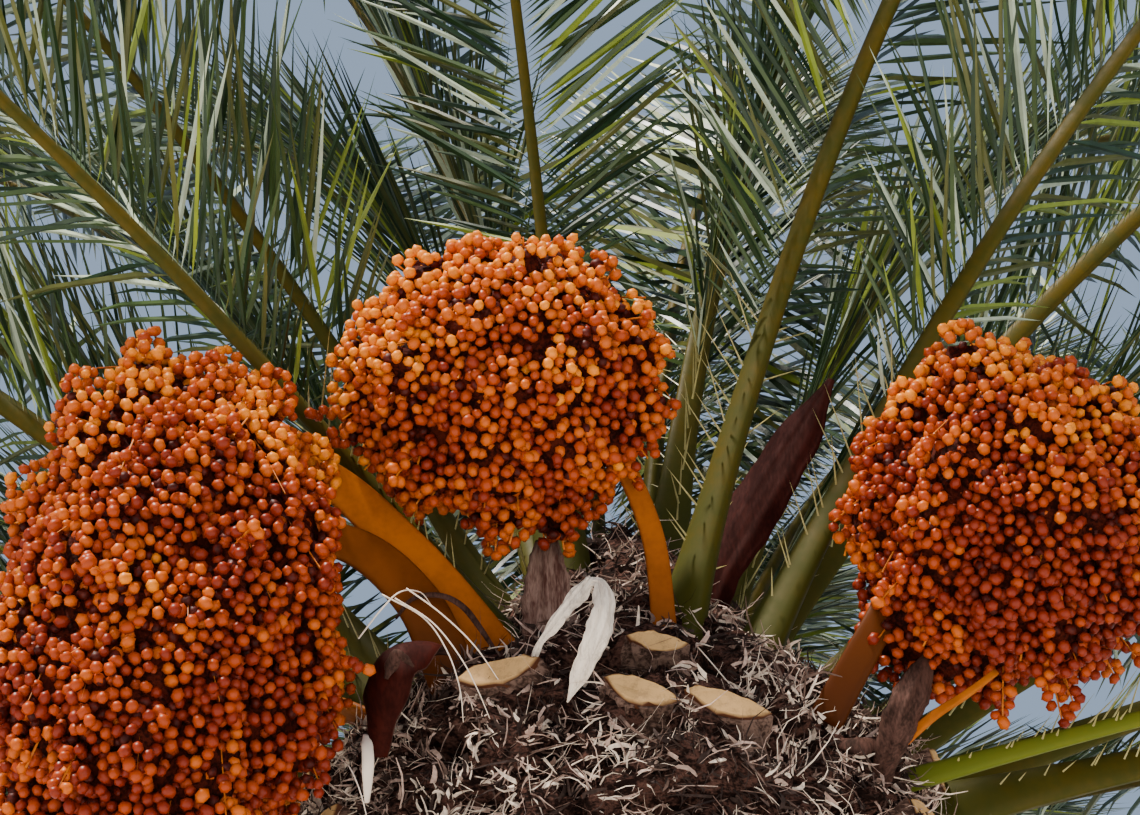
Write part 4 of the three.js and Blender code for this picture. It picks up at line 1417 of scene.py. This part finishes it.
def hanging_sprays(seed, bunch, width):
    """Sprays that hang a little out of the bunch: their strands, and the places and axes of their fruit."""
    luck = np.random.default_rng(120 + seed)
    lines, fruit, axes = [], [], []
    share = np.linspace(0, 1, STRAND_POINTS)[:, None]
    for _ in range(HANGING_SPRAYS):
        way = luck.normal(0, 1, 3)
        way = unit(np.array([way[0], way[1], min(way[2] - 0.5, 0)]))
        reach = float(fruit_reach(way[None], seed)[0][0])
        start = bunch.at + way * reach * HANG_FROM * bunch.half
        goal = bunch.at + way * (reach + HANG_LEAST + HANG_SPREAD * luck.random()) * bunch.half
        droop = -HANG_DROOP * luck.random() * UP
        line = start + (goal - start) * share + droop * share ** 2
        lines.append(line)
        tip_way = unit(line[-1] - line[-2])
        for k in range(HANGING_FRUIT):
            aside = unit(np.cross(tip_way, luck.normal(0, 1, 3)))
            spot = line[-1] - tip_way * (HANG_PITCH * width * k) + aside * width * (HANG_ASIDE if k else 0.1)
            fruit.append(spot)
            axes.append(unit(0.5 * tip_way + aside + 0.3 * luck.normal(0, 1, 3)))
    return np.array(lines), np.array(fruit), np.array(axes)


def heart_mesh(material):
    """The tangle of strands and inner fruit behind the gaps of each bunch, as one lumpy core painted dark as
    painted shade.
    """
    points, faces = [], []
    for seed, bunch in enumerate(BUNCHES):
        ball = bmesh.new()
        bmesh.ops.create_icosphere(ball, subdivisions=4, radius=1)
        ways = unit(np.array([v.co for v in ball.verts]))
        faces += [tuple(v.index + len(points) for v in face.verts) for face in ball.faces]
        ball.free()
        share = fruit_reach(ways, seed)[0] - HEART_INSET
        lumps = HEART_LUMP * noise_field(ways * bunch.half + seed, *HEART_LUMPS)
        spots = bunch.at + ways * share[:, None] * bunch.half + ways * lumps[:, None]
        points += spots.tolist()
    return solid_mesh("bunch_hearts", points, faces, material)


# What a user would change.
def distance(name, description, default):
    return FloatProperty(name=name, description=description, default=default, min=0, unit="LENGTH")


def whole(name, description, default, least=0):
    return IntProperty(name=name, description=description, default=default, min=least)


def colour(name, description, default):
    return FloatVectorProperty(name=name, description=description, default=default, size=3, min=0, max=1,
                               subtype="COLOR")


class PalmSizes(PropertyGroup):
    leaflets_a_side: whole("Leaflets a side", "Leaflets on each side of a frond 3.6 m long", 350, 10)
    leaflet_width: distance("Leaflet width", "Width of the longest leaflets at their widest", 0.0106)
    fruit_width: distance("Fruit width", "Width of one fruit", 0.0146)
    fruit_length: distance("Fruit length", "Length of one fruit", 0.0184)
    scar_relief: distance("Scar relief", "How far the leaf scars stand out of their grooves", 0.0095)
    shreds: whole("Shreds", "Loose shreds of fibre over the head", 17500)
    strips: whole("Strips", "Long strips of fibre over the head", 7000)
    hairs: whole("Hairs", "Fine hairs over the head", 4500)


class PalmColours(PropertyGroup):
    leaf_deep: colour("Deep leaf", "Most leaflets", (0.016, 0.038, 0.009))
    leaf_mid: colour("Green leaf", "Leaflets in full growth", (0.050, 0.084, 0.018))
    leaf_olive: colour("Olive leaf", "Leaflets that yellow a little", (0.098, 0.102, 0.018))
    leaf_fresh: colour("Fresh leaf", "Yellow-green leaflets", (0.230, 0.290, 0.022))
    # Waxy leaf: partly the real bloom, partly a painted sheen of sunlight.
    leaf_waxy: colour("Waxy leaf", "Leaflets with a pale bloom", (0.520, 0.600, 0.420))
    rib: colour("Rib", "The ribs of the fronds", (0.082, 0.052, 0.002))
    foot: colour("Foot", "The feet of the fronds", (0.040, 0.042, 0.004))
    spine: colour("Spine", "Spines low on the ribs", (0.420, 0.350, 0.110))
    fruit_gold: colour("Gold fruit", "The lightest fruit", (0.800, 0.225, 0.002))
    fruit_orange: colour("Orange fruit", "Most fruit", (0.520, 0.095, 0.0015))
    fruit_deep: colour("Deep fruit", "Riper fruit", (0.330, 0.038, 0.001))
    fruit_red: colour("Red fruit", "The ripest fruit", (0.180, 0.012, 0.001))
    # Painted shade: the inside of the bunches is painted as dark as the shade in it.
    heart: colour("Heart", "The inside of the bunches", (0.060, 0.007, 0.002))
    stalk: colour("Stalk", "The flat stalks of the bunches", (0.540, 0.135, 0.004))
    # Partly real browning, and partly painted shade on the stalks that stand in shade.
    stalk_foot: colour("Stalk foot", "The browned feet of the stalks", (0.056, 0.0125, 0.0008))
    bark: colour("Bark", "The faces of the leaf scars", (0.150, 0.110, 0.082))
    groove: colour("Groove", "The grooves between the scars", (0.045, 0.030, 0.022))
    mat: colour("Mat", "The matted fibre of the head", (0.080, 0.036, 0.026))
    cut: colour("Cut", "The faces of the cut leaf bases", (0.520, 0.300, 0.115))
    fibre_dark: colour("Dark fibre", "Old fibre", (0.034, 0.017, 0.012))
    fibre_brown: colour("Brown fibre", "Old fibre near the light", (0.150, 0.088, 0.066))
    fibre_pink: colour("Grey-pink fibre", "Weathered fibre", (0.540, 0.360, 0.285))
    fibre_straw: colour("Straw fibre", "Bleached fibre", (0.860, 0.670, 0.520))
    bract: colour("Bract", "Dry bracts", (0.038, 0.0045, 0.002))
    husk: colour("Husk", "The bleached husk", (0.800, 0.670, 0.540))
    floor: colour("Floor", "The studio floor", (0.780, 0.770, 0.750))
    sky: colour("Backdrop", "The light all round", (0.520, 0.690, 0.950))


class PALM_OT_studio(Operator):
    """Camera, soft lights and a plain pale floor"""

    bl_idname = "palm.studio"
    bl_label = "Studio"

    def execute(self, context):
        tint = context.scene.palm_colours
        camera = new_object(bpy.data.cameras.new("camera"))
        camera.location = EYE
        camera.rotation_euler = Euler((math.radians(90 + EYE_TILT), 0, 0))
        camera.data.sensor_width = SENSOR
        camera.data.sensor_fit = "HORIZONTAL"
        camera.data.lens = LENS
        camera.data.clip_end = 200
        bpy.context.scene.camera = camera
        world = bpy.data.worlds.new("backdrop")
        world.use_nodes = True
        light = {"Color": (*tint.sky, 1), "Strength": SKY_STRENGTH}
        feed(world.node_tree, world.node_tree.nodes["Background"], light)
        bpy.context.scene.world = world
        for name, (strength, spread, paint, place) in SUNS.items():
            sun = new_object(bpy.data.lights.new(name, "SUN"))
            sun.data.energy = strength
            sun.data.angle = math.radians(spread)
            sun.data.color = paint
            sun.rotation_euler = Vector(place).to_track_quat("Z", "Y").to_euler()
        corners = [(x * FLOOR_REACH, y * FLOOR_REACH, 0) for x, y in ((-1, -1), (1, -1), (1, 1), (-1, 1))]
        board = new_object(new_mesh("floor", corners, faces=[(0, 1, 2, 3)]))
        board.data.materials.append(finish("floor_paint", tint.floor, tint.floor, bump=0))
        return {"FINISHED"}


class PALM_OT_stem(Operator):
    """The stem, with its diamond leaf scars and root flare"""

    bl_idname = "palm.stem"
    bl_label = "Stem"

    def execute(self, context):
        size, tint = context.scene.palm_sizes, context.scene.palm_colours
        bark = finish("bark", tint.groove, tint.bark, 26, (1, 1, 2.5), 5, 0.38, 0.6, (0.85, 0.95), 0.8, 0.006,
                      specular=0.2)
        keep(rings_mesh("stem", [stem_rings(size.scar_relief)], bark), "bark", "trunk")
        return {"FINISHED"}


class PALM_OT_head(Operator):
    """The matted head of the trunk and its cut leaf bases"""

    bl_idname = "palm.head"
    bl_label = "Head"

    def execute(self, context):
        tint = context.scene.palm_colours
        mat = finish("mat", darker(tint.mat, 0.12), tint.mat, 46, (1, 1, 2), 4, 0.42, 0.62, (0.85, 0.95), 1.0,
                     0.012, specular=0.05)
        side = finish("cut_base", tint.fibre_dark, tint.fibre_brown, 45, (1, 1, 3), 4, 0.4, 0.6, (0.8, 0.9),
                      0.8, 0.004, specular=0.08)
        face = finish("cut_face", mixed(tint.cut, tint.fibre_dark, 0.35), tint.cut, 90, (1, 1, 1), 5, 0.3,
                      0.55, (0.6, 0.75), 0.5, 0.0015, specular=0.25)
        tint_by_field(face, "rim", tint.stalk_foot)
        keep(rings_mesh("head_mat", [head_surface()[0]], mat), "bark", "trunk")
        for mesh in stub_meshes(side, face):
            keep(mesh, "bark", "trunk")
        return {"FINISHED"}


class PALM_OT_fibre(Operator):
    """Loose shreds, strips and hairs over the head"""

    bl_idname = "palm.fibre"
    bl_label = "Fibre"

    def execute(self, context):
        size, tint = context.scene.palm_sizes, context.scene.palm_colours
        flat = section("shred_section", 3, 0.34, 0.34)
        full = section("hair_section", 3)
        paints = {}
        for shade in FIBRE_LIMITS:
            paint = getattr(tint, "fibre_" + shade)
            paints[shade] = finish("fibre_" + shade, paint, darker(paint, 0.55), 60, rough=(0.75, 0.95),
                                   specular=0.25)
        for seed, (kind, form) in enumerate(STRAND_KINDS.items()):
            line, half, facing, patch = shred_lines(getattr(size, kind), 5 + seed, *form)
            outline = full if kind == "hairs" else flat
            for shade, chosen in by_shade(patch, FIBRE_LIMITS):
                strands = (line[chosen], half[chosen], facing[chosen])
                mesh = swept(f"{kind}_{shade}", *strands, outline, paints[shade], smooth=False)
                keep(mesh, "bark", "trunk")
        discard(flat, full)
        return {"FINISHED"}


class PALM_OT_bracts(Operator):
    """Dry bracts, the folded husk and the long dry fibres"""

    bl_idname = "palm.bracts"
    bl_label = "Bracts"

    def execute(self, context):
        tint = context.scene.palm_colours
        maroon = finish("bract", tint.bract, darker(tint.bract, 0.45), 22, (2, 2, 0.6), 6, rough=(0.6, 0.8),
                        bump=0.35, specular=0.06)
        brown = finish("bract_brown", mixed(tint.bract, tint.fibre_pink, 0.42),
                       mixed(tint.bract, tint.fibre_pink, 0.06), 24, (3, 3, 0.5), 6, rough=(0.6, 0.8),
                       bump=0.5, specular=0.07)
        dry = finish("sheath", mixed(tint.bract, tint.fibre_brown, 0.4), darker(tint.fibre_dark, 0.6), 30,
                     (2, 2, 0.6), 6, rough=(0.7, 0.85), bump=0.5, specular=0.05)
        bleached = finish("husk", tint.husk, mixed(tint.husk, tint.fibre_brown, 0.55), 34, (3, 3, 0.6), 5,
                          0.42, 0.72, (0.7, 0.85), 0.6, specular=0.2)
        # Painted shade: the inner sides of the husk's folds are painted brown, darker than the outer side.
        lining = finish("husk_lining", mixed(tint.fibre_pink, tint.fibre_brown, 0.4), tint.fibre_brown, 30,
                        (2, 2, 0.7), 5, 0.4, 0.7, (0.7, 0.85), 0.5)
        straw = finish("dry_fibre", mixed(tint.fibre_straw, tint.husk, 0.5), tint.fibre_straw, 40,
                       rough=(0.6, 0.8), bump=0.1)
        keep(rings_mesh("bract_boat", [shell_rings(BRACT_RIGHT)], maroon), "bract", "bract_right")
        keep(rings_mesh("bract_sheath", [shell_rings(BRACT_MIDDLE)], brown), "bract", "bract_middle")
        keep(rings_mesh("bract_left", [shell_rings(BRACT_LEFT)], maroon, dry), "bract", "bract_middle")
        sheaths = [shell_rings(shell) for shell in (SHEATH_TALL, SHEATH_LENS, SCRAP)]
        sheaths.append(strap_rings(HUSK_RIM, (0.003, 0.007, 0.009, 0.008, 0.005), 0.003, VIEW_SIDE, 30, 8))
        keep(rings_mesh("dry_sheaths", sheaths, dry), "bark", "trunk")
        legs = [shell_rings(HUSK_LEFT), shell_rings(HUSK_RIGHT)]
        keep(rings_mesh("husk_fold", legs, bleached, lining), "husk", "husk_folded")
        fibres = [strap_rings(line, (0.002, 0.0018, 0.001), 0.0018, (0.3, 0.1, 1), 26, FIBRE_SIDES)
                  for line in DRY_FIBRES]
        keep(rings_mesh("dry_fibres", [*fibres, shell_rings(PALE_STRIP)], straw), "husk", "husk_folded")
        return {"FINISHED"}


class PALM_OT_ribs(Operator):
    """The ribs of the fronds, with their clasping feet, and the spines low on them"""

    bl_idname = "palm.ribs"
    bl_label = "Ribs"

    def execute(self, context):
        tint = context.scene.palm_colours
        skin = finish("rib", tint.rib, mixed(tint.rib, tint.foot, 0.8), 14, grain=6, rough=(0.5, 0.65),
                      bump=0.25, depth=0.0015, specular=0.1)
        tint_by_field(skin, "foot", tint.foot)
        # The field fresh holds painted sunlight: a yellow-green tint on the rib that the light falls on.
        tint_by_field(skin, "fresh", tint.leaf_fresh)
        line, half, facing, foot, fresh = rib_lines()
        outline = section("rib_section", RIB_SIDES, RIB_OVER * RIB_DEPTH_SHARE, RIB_UNDER * RIB_DEPTH_SHARE)
        ribs = swept("ribs", line, half, facing, outline, skin, foot=foot, fresh=fresh)
        keep(ribs, "frond", *FROND_NODES)
        straw = finish("spine", tint.spine, darker(tint.spine, 0.7), 40, rough=(0.4, 0.6), bump=0.1)
        spots, way, facing, scale = spine_field()
        spine = spine_shape()
        spines = scattered("spines", spots, way, facing, scale, np.zeros(len(spots)), spine, straw)
        keep(spines, "frond", *FROND_NODES)
        discard(outline, spine)
        return {"FINISHED"}


class PALM_OT_leaflets(Operator):
    """The leaflets of every frond, in five greens"""

    bl_idname = "palm.leaflets"
    bl_label = "Leaflets"

    def execute(self, context):
        size, tint = context.scene.palm_sizes, context.scene.palm_colours
        ribs = rib_finder()
        found = []
        for number, frond in enumerate(FRONDS):
            leaflets = leaflets_of(number, frond, size.leaflets_a_side, size.leaflet_width)
            root, way, facing, length, wide, sag, luck = leaflets
            reach = (length[:, None] * CROSS_SAMPLES)[..., None]
            samples = root[:, None] + way[:, None] * reach
            samples[..., 2] -= sag[:, None] * CROSS_SAMPLES ** 2
            share = clear_share(number, samples, *ribs)
            stays = share > LEAST_SHARE
            luck = (luck + 23 * float(chance(number, 77))) % 100
            leaflets = (root, way, facing, length * share, wide, sag * share ** 2, luck)
            found.append([part[stays] for part in leaflets])
        root, way, facing, length, wide, sag, luck = joined(found)
        scale = np.stack([length, wide, wide], -1)
        blade = leaflet_shape()
        for shade, chosen in by_shade(luck, LEAF_LIMITS):
            paint = getattr(tint, "leaf_" + shade)
            dull = LEAF_DULL[shade]
            green = finish("leaf_" + shade, paint, darker(paint, 0.6), 9, grain=5, low=0.3, high=0.7,
                           rough=(dull, dull + 0.16), bump=0.12, depth=0.001, coat=0.05, specular=0.3)
            spots = [part[chosen] for part in (root, way, facing, scale, sag)]
            keep(scattered("leaflets_" + shade, *spots, blade, green), "frond", *FROND_NODES)
        discard(blade)
        return {"FINISHED"}


class PALM_OT_stalks(Operator):
    """The flat stalks, the strands and the hearts of the bunches"""

    bl_idname = "palm.stalks"
    bl_label = "Stalks"

    def execute(self, context):
        size, tint = context.scene.palm_sizes, context.scene.palm_colours
        skin = finish("stalk", tint.stalk, darker(tint.stalk, 0.7), 16, grain=7, high=0.7, rough=(0.45, 0.6),
                      depth=0.0015, specular=0.07)
        tint_by_field(skin, "foot", tint.stalk_foot)
        straps, browned_and_shaded = [], []
        for bunch in BUNCHES:
            widths = [width * bunch.slim for width in STALK_WIDTHS]
            up = VIEW_SIDE if bunch.on_edge else (0, 0, 1)
            # Each stalk is darkened towards its foot: partly real browning, partly painted shade where it
            # stands in shade.
            brown = np.array(STALK_BROWNING_AND_SHADE.get(bunch.name, OTHER_BROWNING))
            for place, line in enumerate(bunch.stalks):
                straps.append(strap_rings(line, widths, STRAP_THICKNESS, up, STALK_RINGS, STRAP_SIDES))
                ends = brown + place * np.array(SECOND_STALK_SHADE)
                fade = np.interp(np.linspace(0, 1, STALK_RINGS), FADE_SPAN, ends)
                browned_and_shaded.append(np.repeat(fade, STRAP_SIDES))
        straps.append(strap_rings(THIN_STALK, THIN_WIDTHS, THIN_WALL, VIEW_SIDE, THIN_RINGS, STRAP_SIDES))
        browned_and_shaded.append(np.full(THIN_RINGS * STRAP_SIDES, THIN_BROWNING))
        stalks = rings_mesh("fruit_stalks", straps, skin)
        set_field(stalks, "foot", np.concatenate(browned_and_shaded))
        keep(stalks, "fruit", *FRUIT_NODES)
        bunches = list(enumerate(BUNCHES))
        lines = [strands_of(seed, bunch) for seed, bunch in bunches]
        lines += [hanging_sprays(seed, bunch, size.fruit_width)[0] for seed, bunch in bunches]
        line = np.concatenate(lines)
        half = np.full(line.shape[:2], STRAND_HALF)
        facing = np.broadcast_to(np.array([0.2, 0.3, 0.9]), line.shape)
        outline = section("strand_section", 3)
        strand = finish("strand", mixed(tint.stalk, tint.fruit_gold, 0.5), tint.stalk, 40, rough=(0.4, 0.6))
        keep(swept("strands", line, half, facing, outline, strand), "fruit", *FRUIT_NODES)
        discard(outline)
        # Painted shade: the core behind the gaps is painted dark as the shade there.
        core = finish("heart", tint.heart, darker(tint.heart, 0.2), 60, low=0.4, high=0.6, rough=(0.8, 0.9),
                      bump=0.8, depth=0.006, specular=0.08)
        keep(heart_mesh(core), "fruit", *FRUIT_NODES)
        return {"FINISHED"}


class PALM_OT_fruit(Operator):
    """The fruit of every bunch, in four oranges"""

    bl_idname = "palm.fruit"
    bl_label = "Fruit"

    def execute(self, context):
        size, tint = context.scene.palm_sizes, context.scene.palm_colours
        wide = size.fruit_width
        found, inner = [], []
        for seed, bunch in enumerate(BUNCHES):
            luck = np.random.default_rng(40 + seed)
            count = int(bunch_area(bunch) / (SKIN_A_FRUIT * wide ** 2))
            points, axis, spray = fruit_layer(seed, bunch, count, wide, 0, luck)
            _, hung, hung_axis = hanging_sprays(seed, bunch, wide)
            above = (points - bunch.at)[:, 2] / bunch.half[2]
            ripeness_and_light = RIPE_LEAST + RIPE_BY_SPRAY * chance(spray + 1, seed + 60)
            ripeness_and_light = ripeness_and_light + RIPE_BY_LUCK * luck.random(len(points))
            # Painted light: the higher a fruit stands in its bunch, the paler it is painted.
            ripeness_and_light = np.clip(ripeness_and_light + BUNCH_RIPENESS_AND_LIGHT.get(bunch.name, OTHER_RIPER) - PAINTED_SUNLIT_TOP * above, 0, 1)
            found.append((points, axis, ripeness_and_light))
            found.append((hung, hung_axis, HUNG_RIPE + HUNG_BY_LUCK * luck.random(len(hung))))
            points, axis, _ = fruit_layer(seed, bunch, int(INNER_SHARE * count), wide, INNER_DEPTH, luck)
            inner.append((points, axis, luck.random(len(points))))
        # Painted shade: the inner fruit are painted darker than any ripe fruit, as the shade between the outer
        # fruit.
        skins = {"inner": finish("fruit_inner", darker(tint.fruit_red, 0.5), darker(tint.fruit_red, 0.2), 55,
                                 rough=(0.5, 0.6), bump=0.1, specular=0.2)}
        for shade in FRUIT_LIMITS:
            paint = getattr(tint, "fruit_" + shade)
            skins[shade] = finish("fruit_" + shade, paint, mixed(paint, tint.fruit_deep, 0.45), 55, grain=3,
                                  low=0.4, high=0.7, rough=(0.36, 0.48), bump=0.08, depth=0.001, specular=0.2)
        berry = fruit_shape("fruit_shape", FRUIT_SIDES)
        inner_berry = fruit_shape("inner_fruit_shape", INNER_SIDES)
        for layer, shape, limits in ((found, berry, FRUIT_LIMITS), (inner, inner_berry, INNER_LIMITS)):
            points, axis, ripeness_and_light = joined(layer)
            side = unit(np.cross(axis, np.array([0.31, 0.52, 0.79])))
            grade = FRUIT_SMALLEST + FRUIT_LARGER * chance(np.arange(len(points)), 62)
            body = np.stack([size.fruit_length * grade, wide * grade, wide * grade], -1)
            for shade, chosen in by_shade(ripeness_and_light, limits):
                spots = [part[chosen] for part in (points, axis, side, body)]
                mesh = scattered("fruit_" + shade, *spots, np.zeros(chosen.sum()), shape, skins[shade], True)
                keep(mesh, "fruit", *FRUIT_NODES)
        discard(berry, inner_berry)
        return {"FINISHED"}


STEPS = (
    PALM_OT_studio,
    PALM_OT_stem,
    PALM_OT_head,
    PALM_OT_fibre,
    PALM_OT_bracts,
    PALM_OT_ribs,
    PALM_OT_leaflets,
    PALM_OT_stalks,
    PALM_OT_fruit,
)


class PALM_PT_panel(Panel):
    """The palm's sizes, colours and pieces"""

    bl_idname = "PALM_PT_panel"
    bl_label = "Date Palm"
    bl_space_type = "VIEW_3D"
    bl_region_type = "UI"
    bl_category = "Date Palm"

    def draw(self, context):
        layout = self.layout
        for group in (context.scene.palm_sizes, context.scene.palm_colours):
            column = layout.column()
            for key in group.__annotations__:
                column.prop(group, key)
        for step in STEPS:
            layout.operator(step.bl_idname)


CLASSES = (PalmSizes, PalmColours, *STEPS, PALM_PT_panel)


def register():
    for cls in CLASSES:
        bpy.utils.register_class(cls)
    bpy.types.Scene.palm_sizes = PointerProperty(type=PalmSizes)
    bpy.types.Scene.palm_colours = PointerProperty(type=PalmColours)


def unregister():
    del bpy.types.Scene.palm_colours
    del bpy.types.Scene.palm_sizes
    for cls in reversed(CLASSES):
        bpy.utils.unregister_class(cls)


def main():
    register()
    for step in STEPS:
        group, name = step.bl_idname.split(".")
        getattr(getattr(bpy.ops, group), name)()


if __name__ == "__main__":
    main()
